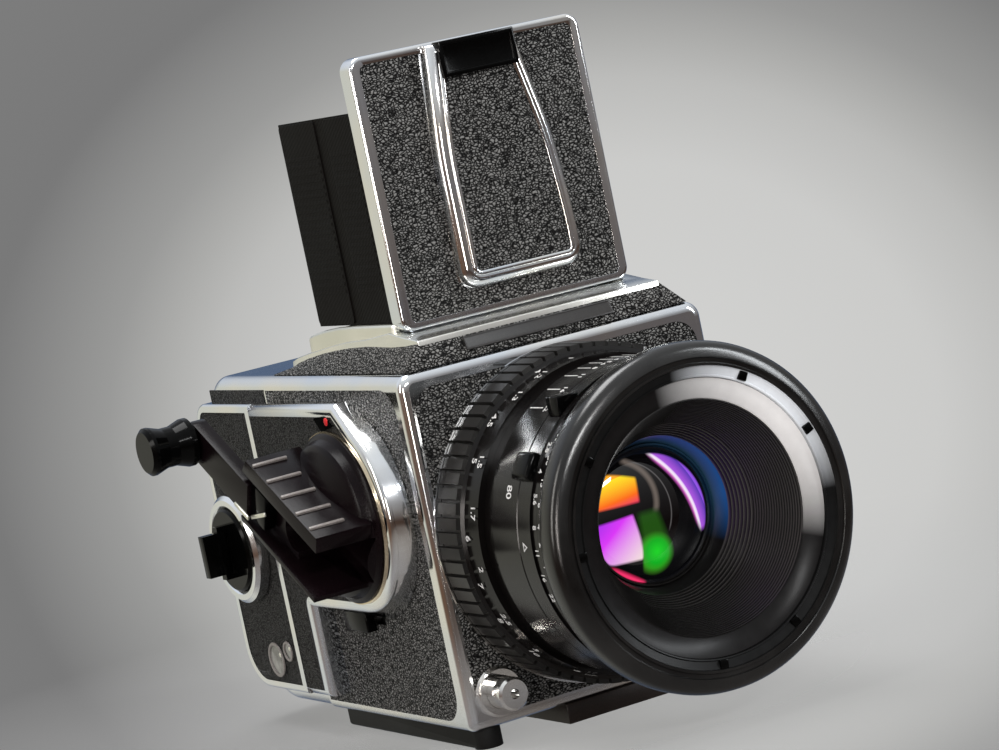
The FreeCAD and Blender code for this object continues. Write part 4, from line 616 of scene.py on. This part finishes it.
# Finder foot: leather cover and chrome rim whose tops arch from front to back, and the satin base in them.
finderSizes = {"well": ((-30.6, -22.6, 80), (30.6, 31.0, 120)),
               "cover": ((-40, -35, 93.45), (40, 43.6, 99.9), (0.866, 0.94, 1)),
               "coverArch": ((-32.7, 99.5), (-26, 99.0), (-18, 98.8), (-5, 99.2), (6, 98.9), (14, 98.4),
                             (22, 97.7), (30, 96.7), (37, 95.5), (41.3, 94.4)),
               "rim": ((-34.4, -33.2, 93.5), (34.4, 42.2, 101), (0.997, 0.99, 1)),
               "rimArch": ((-32.8, 100.2), (-26, 101.0), (-17.8, 102.3), (-4, 100.9), (6, 100.5),
                           (14, 99.8), (19, 99.2), (32, 97.7), (38, 96.8), (41.8, 95.9)),
               "base": ((-33.2, -17.6, 93.6), (33.2, 32.6, 104.1), (0.992, 1, 1)),
               "baseArch": ((-17.6, 104.1), (4, 104.1), (14, 103.9), (22.8, 103.2), (29, 102.4),
                            (32.6, 101.8))}


def arched(name, look, soft, nodes=()):
    low, high, draft = finderSizes[name]
    arch = finderSizes[name + "Arch"]
    item = openBlock("finder" + name.capitalize(), low, high)
    choose(item, "FACE", lambda face: face.normal.z > 0.9)
    bpy.ops.transform.resize(value=draft, center_override=(0, (low[1] + high[1]) / 2 * mm, 0))
    for y, rise in arch[1:-1]:
        bpy.ops.mesh.select_all(action="SELECT")
        bpy.ops.mesh.bisect(plane_co=(0, y * mm, 0), plane_no=(0, 1, 0))
    paintedGlintsAndShade = (high[2] - 0.01) * mm
    shape = bmesh.from_edit_mesh(item.data)
    rows = sorted({round(spot.co.y, 6) for spot in shape.verts if spot.co.z > paintedGlintsAndShade})
    for y, (place, rise) in zip(rows, arch):
        choose(item, "VERT", lambda spot: abs(spot.co.y - y) < 2e-6 and spot.co.z > paintedGlintsAndShade)
        bpy.ops.transform.translate(value=(0, 0, (rise - high[2]) * mm))
    leaveEdit()
    carved(item, block("finderWell", *finderSizes["well"]))
    finished(item, look, "camera", nodes, soft * mm, 3, 25)


arched("cover", "leather", 0.35, ["top_cover"])
arched("rim", "satinChrome", 0.4)
arched("base", "cream", 1.2, ["finder_base"])

# Folding leaves: on each side a plain sheet, and on it two panels of level ribs with a gap between them.
leafSizes = {"x": 31.6, "thick": 0.45, "sheet": ((-17.2, 104.2), (26.0, 156.4)),
             "back": ((-31.1, 25.5, 104.2), (31.1, 26.0, 151.0)),
             "panels": ((-16.6, -0.9), (4.6, 25.6)), "panelLow": 104.6, "panelHigh": 156.0, "round": 1.2,
             "ribs": 19, "ribLow": 112.4, "pitch": 1.9, "rib": (0.16, 0.95), "margin": 0.9,
             "fixed": 104.2, "keep": 0.004}


def folding(item, nodes=()):
    finished(item, "leaf", "camera", nodes, 0.08 * mm, 1)
    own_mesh(item)


for side, word in ((-1, "Left"), (1, "Right")):
    low, high = leafSizes["sheet"]
    edge = side * leafSizes["x"]
    inner = edge - side * leafSizes["thick"]
    sheet = block("leaf" + word, (min(edge, inner), *low), (max(edge, inner), *high))
    folding(sheet, ["hood_side_leaves"] if side < 0 else ())
    for place, (near, far) in enumerate(leafSizes["panels"]):
        centre = edge + side * 0.1
        panel = openBlock(f"leafPanel{word}{place}", (centre - 0.25, near, leafSizes["panelLow"]),
                          (centre + 0.25, far, leafSizes["panelHigh"]))
        choose(panel, "EDGE", lambda rim: abs(rim.verts[0].co.x - rim.verts[1].co.x) > 0.3 * mm)
        bpy.ops.mesh.bevel(offset=leafSizes["round"] * mm, segments=4)
        folding(panel)
        foot, proud, bottom = edge + side * 0.3, leafSizes["rib"][0], leafSizes["ribLow"]
        rib = block(f"leafRibs{word}{place}", (foot, near + leafSizes["margin"], bottom),
                    (foot + side * proud, far - leafSizes["margin"], bottom + leafSizes["rib"][1]))
        modified(rib, "ARRAY", count=leafSizes["ribs"], use_relative_offset=False, use_constant_offset=True,
                 constant_offset_displace=(0, 0, leafSizes["pitch"] * mm))
        bpy.ops.object.mode_set(mode="EDIT")
        bpy.ops.mesh.select_all(action="SELECT")
        bpy.ops.mesh.normals_make_consistent(inside=False)
        folding(rib)
folding(block("leafBack", *leafSizes["back"]), ["hood_back_leaf"])
print("finder made")

# The casing's wall spreads towards its foot round the crank.
casingSizes = {"wallFoot": -43.2, "roundBefore": 22, "wall": (24.2, 25.4), "spread": 1.09,
               "strip": ((-43.3, 44.6, 86.8), (-42.8, 79.4, 90.3))}
hubAxis = Vector((0, crankPlace["y"], crankPlace["z"])) * mm
casing = softened("side_casing", "sideCasing", "chrome", "camera", 0.12 * mm)
reopened(casing)
choose(casing, "VERT", lambda spot: spot.co.x > casingSizes["wallFoot"] * mm
       and spot.co.y < casingSizes["roundBefore"] * mm
       and casingSizes["wall"][0] * mm < (spot.co - hubAxis).yz.length < casingSizes["wall"][1] * mm)
bpy.ops.transform.resize(value=(1, casingSizes["spread"], casingSizes["spread"]), center_override=hubAxis)
leaveEdit()

# Black leather strip on the magazine's side, above the casing.
strip = block("magazineSideStrip", *casingSizes["strip"])
finished(strip, "fineLeather", "camera", soft=0.2 * mm)
print("casing flared")

# Crank: modelled lying flat, along x the arm, along z the way out of the side, then turned into place.
tilt = math.radians(crankPlace["tilt"])
crankFrame = Matrix(((0, 0, -1, crankPlace["x"] * mm),
                     (math.cos(tilt), math.sin(tilt), 0, crankPlace["y"] * mm),
                     (math.sin(tilt), -math.cos(tilt), 0, crankPlace["z"] * mm), (0, 0, 0, 1)))
hubSizes = {"foot": 0.7, "skirt": 0.4,
            "dome": ((21.6, 1.1), (20.9, 1.7), (20.3, 2.0), (19.4, 3.9), (18.8, 4.4), (17.6, 4.9),
                     (15.5, 5.9), (13.0, 6.9), (10.5, 7.7), (6.0, 8.3)),
            "bar": ((-18.9, -10.8, 3.0), (20.9, 7.9, 18.0)), "barLimit": (21.5, 1, 20),
            "slot": ((-30, -6.6, 13.6), (30, 6.6, 19)),
            "pocket": ((-19.4, -6.6, 0.9), (-2.3, 6.6, 19)), "recess": (4.6, 8.6, 15, (0.4, 1.0), 48),
            "rib": ((-0.5, -11.4, 8.2), (0.5, -10.5, 17.7)), "ribs": (15.4, 7.8, 0.2, -7.6, -14.6)}
state = list(hubSizes["dome"][0])
dome = begin("crankDome", "cylinder", vertices=128, radius=state[0] * mm, depth=hubSizes["skirt"] * mm,
             location=(0, 0, (hubSizes["foot"] + hubSizes["skirt"] / 2) * mm))
choose(dome, "FACE", lambda face: face.normal.z > 0.9)
for radius, height in hubSizes["dome"][1:]:
    stepTo(radius, height, state)
leaveEdit()
carved(dome, block("pocketTool", *hubSizes["pocket"]))
dome.data.transform(crankFrame)
finished(dome, "crank", "crank", soft=0.18 * mm, angle=24)

bar = block("crankBar", *hubSizes["bar"])
carved(bar, disc("barLimit", *hubSizes["barLimit"]), "INTERSECT")
carved(bar, block("slotTool", *hubSizes["slot"]))
carved(bar, block("pocketTool", *hubSizes["pocket"]))
carved(bar, disc("recessTool", *hubSizes["recess"]))
bar.data.transform(crankFrame)
finished(bar, "crank", "crank", ["crank_hub"], soft=0.3 * mm)

# Raised ribs on the bar's side; their lighter metal is a painted highlight on each rib.
rib = block("crankRib0", *hubSizes["rib"])
flatRib = rib.data.copy()
for place, along in enumerate(hubSizes["ribs"]):
    if place:
        rib = copied(f"crankRib{place}", flatRib)
    rib.data.transform(crankFrame @ Matrix.Translation((along * mm, 0, 0)))
    finished(rib, "windowRim", "crank", soft=0.28 * mm)

armSizes = {"bar": ((16.6, -4.8, 14.6), (47, 4.8, 18.4)), "end": (47, 0), "tip": (4.8, 14.6, 18.4),
            "post": (2.4, 17, 19.4), "root": ((9.4, -4.9, 13.9), (17.2, 4.9, 17.2)),
            "stripA": ((15.2, 3.7, 18.2), (22.8, 4.8, 18.8)),
            "stripB": ((0, -0.55, 17.0), (8.8, 0.55, 17.6)),
            "bend": (15.9, 4.6, 0), "bendTurn": 216}
arm = block("crankArm", *armSizes["bar"])
carved(arm, disc("armTip", *armSizes["tip"], armSizes["end"], 64), "UNION")
carved(arm, disc("armPost", *armSizes["post"], armSizes["end"], 48), "UNION")
arm.data.transform(crankFrame)
finished(arm, "crank", "arm", ["crank_arm"], soft=0.7 * mm, segments=3)
root = block("armRoot", *armSizes["root"])
root.data.transform(crankFrame)
finished(root, "plastic", "arm", soft=0.5 * mm)
# Two cream strips on the arm's edge and bend: painted highlights.
strip = block("armHighlightStripA", *armSizes["stripA"])
strip.data.transform(crankFrame)
finished(strip, "cream", "arm", soft=0.2 * mm)
strip = block("armHighlightStripB", *armSizes["stripB"])
strip.data.transform(crankFrame @ Matrix.Translation(Vector(armSizes["bend"]) * mm)
                     @ Matrix.Rotation(math.radians(armSizes["bendTurn"]), 4, "Z"))
finished(strip, "cream", "arm", soft=0.2 * mm)
print("crank made")

# Bare plate on the front slope of the cover.
plateSizes = {"block": ((-22.6, -0.35, -1.75), (18.9, 0.25, 1.75)), "frame": ((0.35, 0), (0.1, -0.12)),
              "place": (0, -34.05, 96.9), "slope": -20}
plate = openBlock("barePlate", *plateSizes["block"])
choose(plate, "FACE", lambda face: face.normal.y < -0.9)
insets(plateSizes["frame"])
leaveEdit()
plate.data.transform(Matrix.Translation(Vector(plateSizes["place"]) * mm)
                     @ Matrix.Rotation(math.radians(plateSizes["slope"]), 4, "X"))
finished(plate, "plate", "camera", soft=0.1 * mm)

# Index of the release: a red dot in the black corner above the crank.
dotSizes = {"corner": ((4.2, 84.4), (-2.1, 84.9), (-6.2, 82.3), (1.0, 80.9)), "round": 0.7,
            "dot": (-2.9, 83.5), "radius": 1.05, "dome": ((0.05, 0.2), (0.35, 0.15)), "x": -48.62}
corner = outlined("dotCorner", dotSizes["corner"])
bpy.ops.mesh.bevel(offset=dotSizes["round"] * mm, segments=3, affect="VERTICES")
leaveEdit()
sideways = Matrix(((0, 0, -1, dotSizes["x"] * mm), (1, 0, 0, 0), (0, 1, 0, 0), (0, 0, 0, 1)))
corner.data.transform(sideways)
modified(corner, "SOLIDIFY", thickness=0.3 * mm, offset=0)
finished(corner, "plastic", "camera", outward=True)
dot = begin("redDot", "circle", vertices=32, radius=dotSizes["radius"] * mm, fill_type="NGON")
insets(dotSizes["dome"])
leaveEdit()
dot.data.transform(Matrix.Translation((0, dotSizes["dot"][0] * mm, dotSizes["dot"][1] * mm)) @ sideways)
finished(dot, "redDot", "camera")

# Rings round the two windows of the insert, each over its glass, and on each glass a painted glint: a small
# bright cream dome.
windowSizes = {"big": (59.7, 18.7, 4.5, 0.72), "small": (51.2, 21.5, 2.5, 0.56), "face": 48.6, "lap": 0.25,
               "rise": 0.3, "bead": 0.75, "beadDome": ((0.1, 0.25), (0.3, 0.2)), "glintPlace": (0.72, 0.35)}
for name in ("big", "small"):
    y, z, radius, wall = windowSizes[name]
    sideFace = Matrix(((0, 0, -1, -windowSizes["face"] * mm), (-1, 0, 0, y * mm), (0, 1, 0, z * mm),
                       (0, 0, 0, 1)))
    ring = begin(name + "WindowRing", "circle", vertices=64, radius=(radius + windowSizes["lap"]) * mm,
                 fill_type="NGON")
    insets(((0.1, windowSizes["rise"]), (wall, 0), (0.1, -windowSizes["rise"])))
    bpy.ops.mesh.delete(type="FACE")
    leaveEdit()
    ring.data.transform(sideFace)
    finished(ring, "windowRim", "insert", angle=50)
    # The painted glint on the glass.
    bead = begin(name + "WindowBead", "circle", vertices=24, radius=windowSizes["bead"] * mm,
                 fill_type="NGON")
    insets(windowSizes["beadDome"])
    leaveEdit()
    aside, above = windowSizes["glintPlace"]
    bead.data.transform(sideFace @ Matrix.Translation((radius * aside * mm, radius * above * mm, 0)))
    finished(bead, "cream", "insert", angle=50)
print("small marks made")


# Lens: every ring mark stands on its ring, at an angle from +X towards +Z.
def onLens(angle, radius, depth):
    turn = math.radians(angle)
    outward = Vector((math.cos(turn), 0, math.sin(turn)))
    reading = Vector((-math.sin(turn), 0, math.cos(turn)))
    matrix = Matrix((reading, Vector((0, -1, 0)), outward)).transposed().to_4x4()
    matrix.translation = Vector((0, (frontFace - depth) * mm, lensHeight * mm)) + outward * radius * mm
    return matrix


def label(name, words, size, matrix, body, bold=0.035):
    deselect()
    bpy.ops.object.text_add()
    item = bpy.context.object
    item.data.body = words
    item.data.size = size * mm
    item.data.align_x = "CENTER"
    item.data.align_y = "CENTER"
    item.data.extrude = 0.02 * mm
    item.data.offset = bold * mm
    item.data.resolution_u = 3
    bpy.ops.object.convert(target="MESH")
    item = bpy.context.object
    item.name = item.data.name = name
    item.data.transform(matrix)
    finished(item, "whiteInk", body)


ringMarks = {
    "focusing": {"radius": 39.35, "depth": 15.1, "size": 3.0, "marks": {
        "1": 96, "1.2": 109, "1.3": 121, "1.5": 148, "1.7": 166, "2": 186, "2.5": 206, "3": 222, "4": 240,
        "6": 262, "10": 284}},
    "focusingFeet": {"radius": 39.55, "depth": 12.2, "size": 3.2, "marks": {
        "4": 107.5, "4.5": 132.5, "5": 148, "6": 175, "7": 192, "8": 206.5, "10": 224, "15": 248,
        "30": 272}},
    "speed": {"radius": 37.55, "depth": 44.7, "size": 2.3, "marks": {
        "500": 110, "250": 119, "125": 128, "60": 137, "30": 146, "15": 154, "8": 162, "4": 169.5, "2": 176,
        "1": 184}},
    "aperture": {"radius": 37.55, "depth": 42.3, "size": 2.2, "marks": {
        "22": 196, "16": 188, "11": 179, "8": 170, "5.6": 160, "4": 150, "2.8": 141}},
}
for ring, facts in ringMarks.items():
    body = "focusing" if ring.startswith("focusing") else ring
    for words, angle in facts["marks"].items():
        label(ring + "Mark" + words.replace(".", "p"), words, facts["size"],
              onLens(angle, facts["radius"], facts["depth"]), body)
print("ring marks placed")

# Depth scale: thin lines on the barrel either side of the top, each with its number.
depthLines = {"angles": (125, 115.5, 107, 101, 96, 91.5, 87, 82, 76, 69, 60, 50), "radius": 38.02,
              "numbers": ("22", "16", "11", "8", "5.6", "4", "4", "5.6", "8", "11", "16", "22"),
              "start": 23.4, "end": 29.6, "width": 0.28, "thick": 0.03, "size": 2.3, "gap": 1.9}
run = depthLines["end"] - depthLines["start"]
line = begin("depthLine0", "plane", size=1)
bpy.ops.transform.resize(value=(depthLines["width"] * mm, run * mm, 1))
bpy.ops.mesh.extrude_region_move(TRANSFORM_OT_translate={"value": (0, 0, depthLines["thick"] * mm)})
leaveEdit()
flatLine = line.data.copy()
for place, angle in enumerate(depthLines["angles"]):
    if place:
        line = copied(f"depthLine{place}", flatLine)
    line.data.transform(onLens(angle, depthLines["radius"], (depthLines["start"] + depthLines["end"]) / 2))
    finished(line, "whiteInk", "camera")
    label(f"depthNumber{place}", depthLines["numbers"][place], depthLines["size"],
          onLens(angle, depthLines["radius"], depthLines["end"] + depthLines["gap"]), "camera")
focalPlace = {"size": 3.4, "angle": 158, "radius": 38.0, "depth": 30}
label("focalNumber", "80", focalPlace["size"],
      onLens(focalPlace["angle"], focalPlace["radius"], focalPlace["depth"]), "camera", bold=0.03)

# Index of the rings: a white outlined triangle, and a ridge with a second tab.
indexPlace = {"angle": 177, "radius": 38.02, "depth": 37.6, "size": 1.35, "band": 0.36, "thick": 0.04}
mark = begin("indexTriangle", "circle", vertices=3, radius=indexPlace["size"] * mm, fill_type="NGON")
bpy.ops.mesh.inset(thickness=indexPlace["band"] * mm)
bpy.ops.mesh.delete(type="FACE")
bpy.ops.mesh.select_all(action="SELECT")
bpy.ops.mesh.extrude_region_move(TRANSFORM_OT_translate={"value": (0, 0, indexPlace["thick"] * mm)})
leaveEdit()
mark.data.transform(onLens(indexPlace["angle"], indexPlace["radius"], indexPlace["depth"]))
finished(mark, "whiteInk", "camera", outward=True)

tabPlace = {"angle": 149, "radius": 37.9, "depth": 37.5, "size": (6.6, 7.6, 1.9), "slope": 0.7}
tab = begin("ringTab", "cube", size=1)
bpy.ops.transform.resize(value=tuple(part * mm for part in tabPlace["size"]))
choose(tab, "FACE", lambda face: face.normal.z > 0.9)
bpy.ops.mesh.inset(thickness=tabPlace["slope"] * mm)
bpy.ops.transform.translate(value=(0, 0, tabPlace["slope"] * mm))
leaveEdit()
tab.data.transform(Matrix.Translation((0, 0, tabPlace["size"][2] * mm / 2)))
tab.data.transform(onLens(tabPlace["angle"], tabPlace["radius"], tabPlace["depth"]))
finished(tab, "plastic", "camera", soft=0.35 * mm)
print("index marks placed")


# Mouth of the lens: its rings, the stepped inner wall and the glass, all hollow round pieces that step
# from their outer edge through pairs of radius and depth.
def stepped(name, steps, look, body, nodes=(), wall=0.4, angle=30, closed=False):
    item = begin(name, "circle", vertices=coneSizes["facets"], radius=steps[0][0] * mm, fill_type="NGON")
    state = list(steps[0])
    for radius, depth in steps[1:]:
        stepTo(radius, depth, state)
    if not closed:
        bpy.ops.mesh.delete(type="FACE")
    leaveEdit()
    item.data.transform(Matrix.Translation((0, (frontFace - steps[0][1]) * mm, lensHeight * mm)) @ upright)
    modified(item, "SOLIDIFY", thickness=wall * mm, offset=-1)
    finished(item, look, body, nodes, angle=angle)


mouthSizes = {"ring": ((37.5, 46.05), (37.49, 47.4), (40.8, 50.8), (41.0, 51.6), (40.99, 54.4),
                       (40.7, 55.7), (39.9, 56.8), (38.6, 57.5), (37.2, 57.75), (36.9, 57.3),
                       (36.0, 57.25), (35.8, 57.7), (35.2, 57.7)),
              "wall": ((35.2, 57.7), (35.0, 57.2), (33.1, 56.6), (32.9, 56.9), (32.6, 56.8), (32.5, 55.9)),
              "glass": ((16.2, 30.0), (15.2, 30.6), (13.4, 31.3), (11.0, 32.0), (8.4, 32.5), (5.6, 32.85),
                        (2.8, 33.0), (0.3, 33.05)),
              "lug": ((-1.1, -1.25, -0.5), (1.1, 1.25, 0.5)), "lugPlace": (34.2, 57.0),
              "lugs": (24, 61, 144, 181, 264, 301)}
stepped("frontRing", mouthSizes["ring"], "satin", "camera", ["front_ring"], wall=0.5,
        angle=50)
stepped("mouthWall", mouthSizes["wall"], "mouthWall", "camera", wall=0.3, angle=40)
stepped("nameRing", ((coneSizes["rim"], coneSizes["rimDepth"]),
                     (coneSizes["name"] + 0.3, coneSizes["nameDepth"]),
                     (coneSizes["name"], coneSizes["nameDepth"] - 0.5)), "nameRing", "camera",
        angle=50)
steps = [(coneSizes["name"], coneSizes["nameDepth"] - 0.5)]
tread, lip = coneSizes["tread"], coneSizes["lip"]
for count, edge in ((coneSizes["steps"], "foot"), (coneSizes["wide"], "ledge")):
    radius, depth = coneSizes[edge], coneSizes[edge + "Depth"]
    run = (steps[-1][0] - radius) / count
    fall = (steps[-1][1] - depth) / count
    for step in range(count):
        steps.append((steps[-1][0] - run * tread, steps[-1][1] + fall * lip))
        steps.append((steps[-1][0] - run * (1 - tread), steps[-1][1] - fall * (1 + lip)))
stepped("steppedWall", steps + list(coneSizes["seat"]), "cone", "camera", ["lens_cone"],
        angle=25)
stepped("frontLens", mouthSizes["glass"], "coatedGlass", "camera", ["front_glass"], wall=0.8,
        angle=60, closed=True)

# Bayonet lugs stand in the ring's groove.
lug = block("bayonetLug0", *mouthSizes["lug"])
flatLug = lug.data.copy()
for place, turn in enumerate(mouthSizes["lugs"]):
    if place:
        lug = copied(f"bayonetLug{place}", flatLug)
    lug.data.transform(onLens(turn, *mouthSizes["lugPlace"]) @ upright)
    finished(lug, "plastic", "camera", soft=0.2 * mm)
print("lens mouth made")

# Camera at the photograph's place.
photoView = {"eye": (-398.9, -784.3, 172.8), "right": (0.86225, -0.46420, -0.20260),
             "forward": (0.45314, 0.88572, -0.10082), "focal": 3500, "width": 999, "sensor": 36}
right = Vector(photoView["right"]).normalized()
forward = Vector(photoView["forward"])
forward = (forward - right * forward.dot(right)).normalized()
up = right.cross(forward)
camera = bpy.data.objects.new("photoCamera", bpy.data.cameras.new("photoCamera"))
bpy.context.scene.collection.objects.link(camera)
camera.matrix_world = Matrix((right, up, -forward)).transposed().to_4x4()
camera.matrix_world.translation = Vector(photoView["eye"]) * mm
camera.data.sensor_width = photoView["sensor"]
camera.data.lens = photoView["focal"] / photoView["width"] * photoView["sensor"]
camera.data.clip_start, camera.data.clip_end = 0.02, 20
bpy.context.scene.camera = camera

# Studio: pale floor that fades into the backdrop, and soft lamps.
scene = bpy.context.scene
scene.view_settings.view_transform = "Standard"
floor = begin("floorSheet", "circle", vertices=96, radius=2.6, fill_type="NGON")
leaveEdit()
floor.data.materials.clear()
floorLook = Look("paleFloor")
distance = floorLook.node("ShaderNodeVectorMath", {"operation": "LENGTH"}, {0: floorLook.place()}, 1)
sweep = floorLook.noise(3.0, 2.0)
paleTone = floorLook.ramp(sweep, (0.3, (0.46, 0.46, 0.46)), (0.7, (0.50, 0.50, 0.49)))
floorLook.set(baseColor=paleTone, roughness=0.75, specular=0.1)
clear = floorLook.node("ShaderNodeBsdfTransparent")
fade = 0.6 + 0.4 * ((distance - 0.08) / 0.16).clamped()
cover = floorLook.node("ShaderNodeMixShader", {}, {0: fade, 1: Wire(floorLook, floorLook.shader.outputs[0]),
                                                   2: clear})
floorLook.tree.links.new(cover.socket, floorLook.tree.nodes["Material Output"].inputs[0])
floor.data.materials.append(floorLook.material)

world = bpy.data.worlds.new("studio")
scene.world = world
world.use_nodes = True


# The world's nodes take the same expressions as a material's.
class Sky(Look):
    def __init__(self):
        self.tree = world.node_tree


sky = Sky()
heading = sky.node("ShaderNodeTexCoord")


def seenAlong(axis):
    return sky.node("ShaderNodeVectorMath", {"operation": "DOT_PRODUCT"}, {0: heading, 1: axis}, 1)


ahead = seenAlong(forward).most(0.05)
glow = {"place": (130, -45), "reach": (520, 430)}        # in pixels from the picture's middle
across = (seenAlong(right) / ahead * photoView["focal"] - glow["place"][0]) / glow["reach"][0]
upward = (seenAlong(up) / ahead * photoView["focal"] - glow["place"][1]) / glow["reach"][1]
spread = (across * across + upward * upward) ** 0.5
# The backdrop seen straight on: a painted pool of light round the glow's place, darkest some way out from
# it.
backdrop = sky.ramp(spread / 4.0, (0.0, (0.66, 0.66, 0.65)), (0.15, (0.60, 0.60, 0.59)),
                    (0.2, (0.50, 0.50, 0.49)), (0.225, (0.41, 0.41, 0.40)), (0.25, (0.32, 0.32, 0.315)),
                    (0.31, (0.19, 0.19, 0.19)), (0.5, (0.22, 0.22, 0.22)), (1.0, (0.48, 0.48, 0.475)))
side = sky.node("ShaderNodeSeparateXYZ", {}, {0: heading}, 0)
depth = sky.node("ShaderNodeSeparateXYZ", {}, {0: heading}, 1)
height = sky.node("ShaderNodeSeparateXYZ", {}, {0: heading}, 2)
# What shiny pieces reflect: a dark room with a pale ceiling, warm at the left, and a bright wall behind.
room = sky.ramp(height * 0.5 + 0.5, (0.0, (0.20, 0.17, 0.15)), (0.40, (0.05, 0.03, 0.022)),
                (0.53, (0.012, 0.010, 0.014)), (0.60, (0.03, 0.04, 0.07)), (0.68, (0.30, 0.36, 0.46)),
                (0.8, (0.70, 0.76, 0.84)), (1.0, (0.85, 0.88, 0.90)))
warmSide = sky.mixed(((side * -1.0 - 0.75) / 0.2).clamped() * 0.6, room, (0.16, 0.085, 0.05))
behind = sky.mixed(((side + 0.30) / 0.5).clamped(), (0.64, 0.63, 0.54), (0.09, 0.13, 0.21))
behindHigh = sky.mixed(((height - 0.2) / 0.3).clamped(), behind, (0.74, 0.78, 0.84))
mirrored = sky.mixed(((depth - 0.15) / 0.4).clamped(), warmSide, behindHigh)
paths = sky.node("ShaderNodeLightPath")
glossy = Wire(sky, paths.socket.node.outputs["Is Glossy Ray"])
passing = Wire(sky, paths.socket.node.outputs["Is Transmission Ray"])
lit = sky.mixed(glossy, (0.36, 0.36, 0.37), mirrored)
seen = sky.mixed((paths + passing).clamped(), lit, backdrop)
ground = sky.node("ShaderNodeBackground", {}, {0: seen, 1: 1.0})
sky.tree.links.new(ground.socket, sky.tree.nodes["World Output"].inputs[0])


def lamp(name, place, aim, size, power, tone=(1, 1, 1)):
    light = bpy.data.objects.new(name, bpy.data.lights.new(name, "AREA"))
    light.data.shape = "RECTANGLE"
    light.data.size, light.data.size_y = size
    light.data.energy = power
    light.data.color = tone
    bpy.context.scene.collection.objects.link(light)
    light.location = Vector(place)
    light.rotation_mode = "QUATERNION"
    light.rotation_quaternion = (Vector(aim) - Vector(place)).to_track_quat("-Z", "Y")


middle = (0, 0, 0.07)
lamp("topLamp", (-0.1, 0.1, 0.95), middle, (0.6, 0.4), 6.0)
lamp("leftLamp", (-1.0, -0.15, 0.40), middle, (0.16, 0.7), 2.6, (1.0, 0.98, 0.93))
lamp("rightLamp", (0.75, -0.65, 0.45), middle, (0.14, 0.6), 5.0, (0.93, 0.97, 1.0))
lamp("frontLamp", (-0.20, -1.25, 0.60), middle, (0.5, 0.10), 6.0)
lamp("lowLamp", (-0.75, -0.8, 0.12), middle, (0.08, 0.35), 1.6, (1.0, 0.93, 0.88))
print("studio ready")
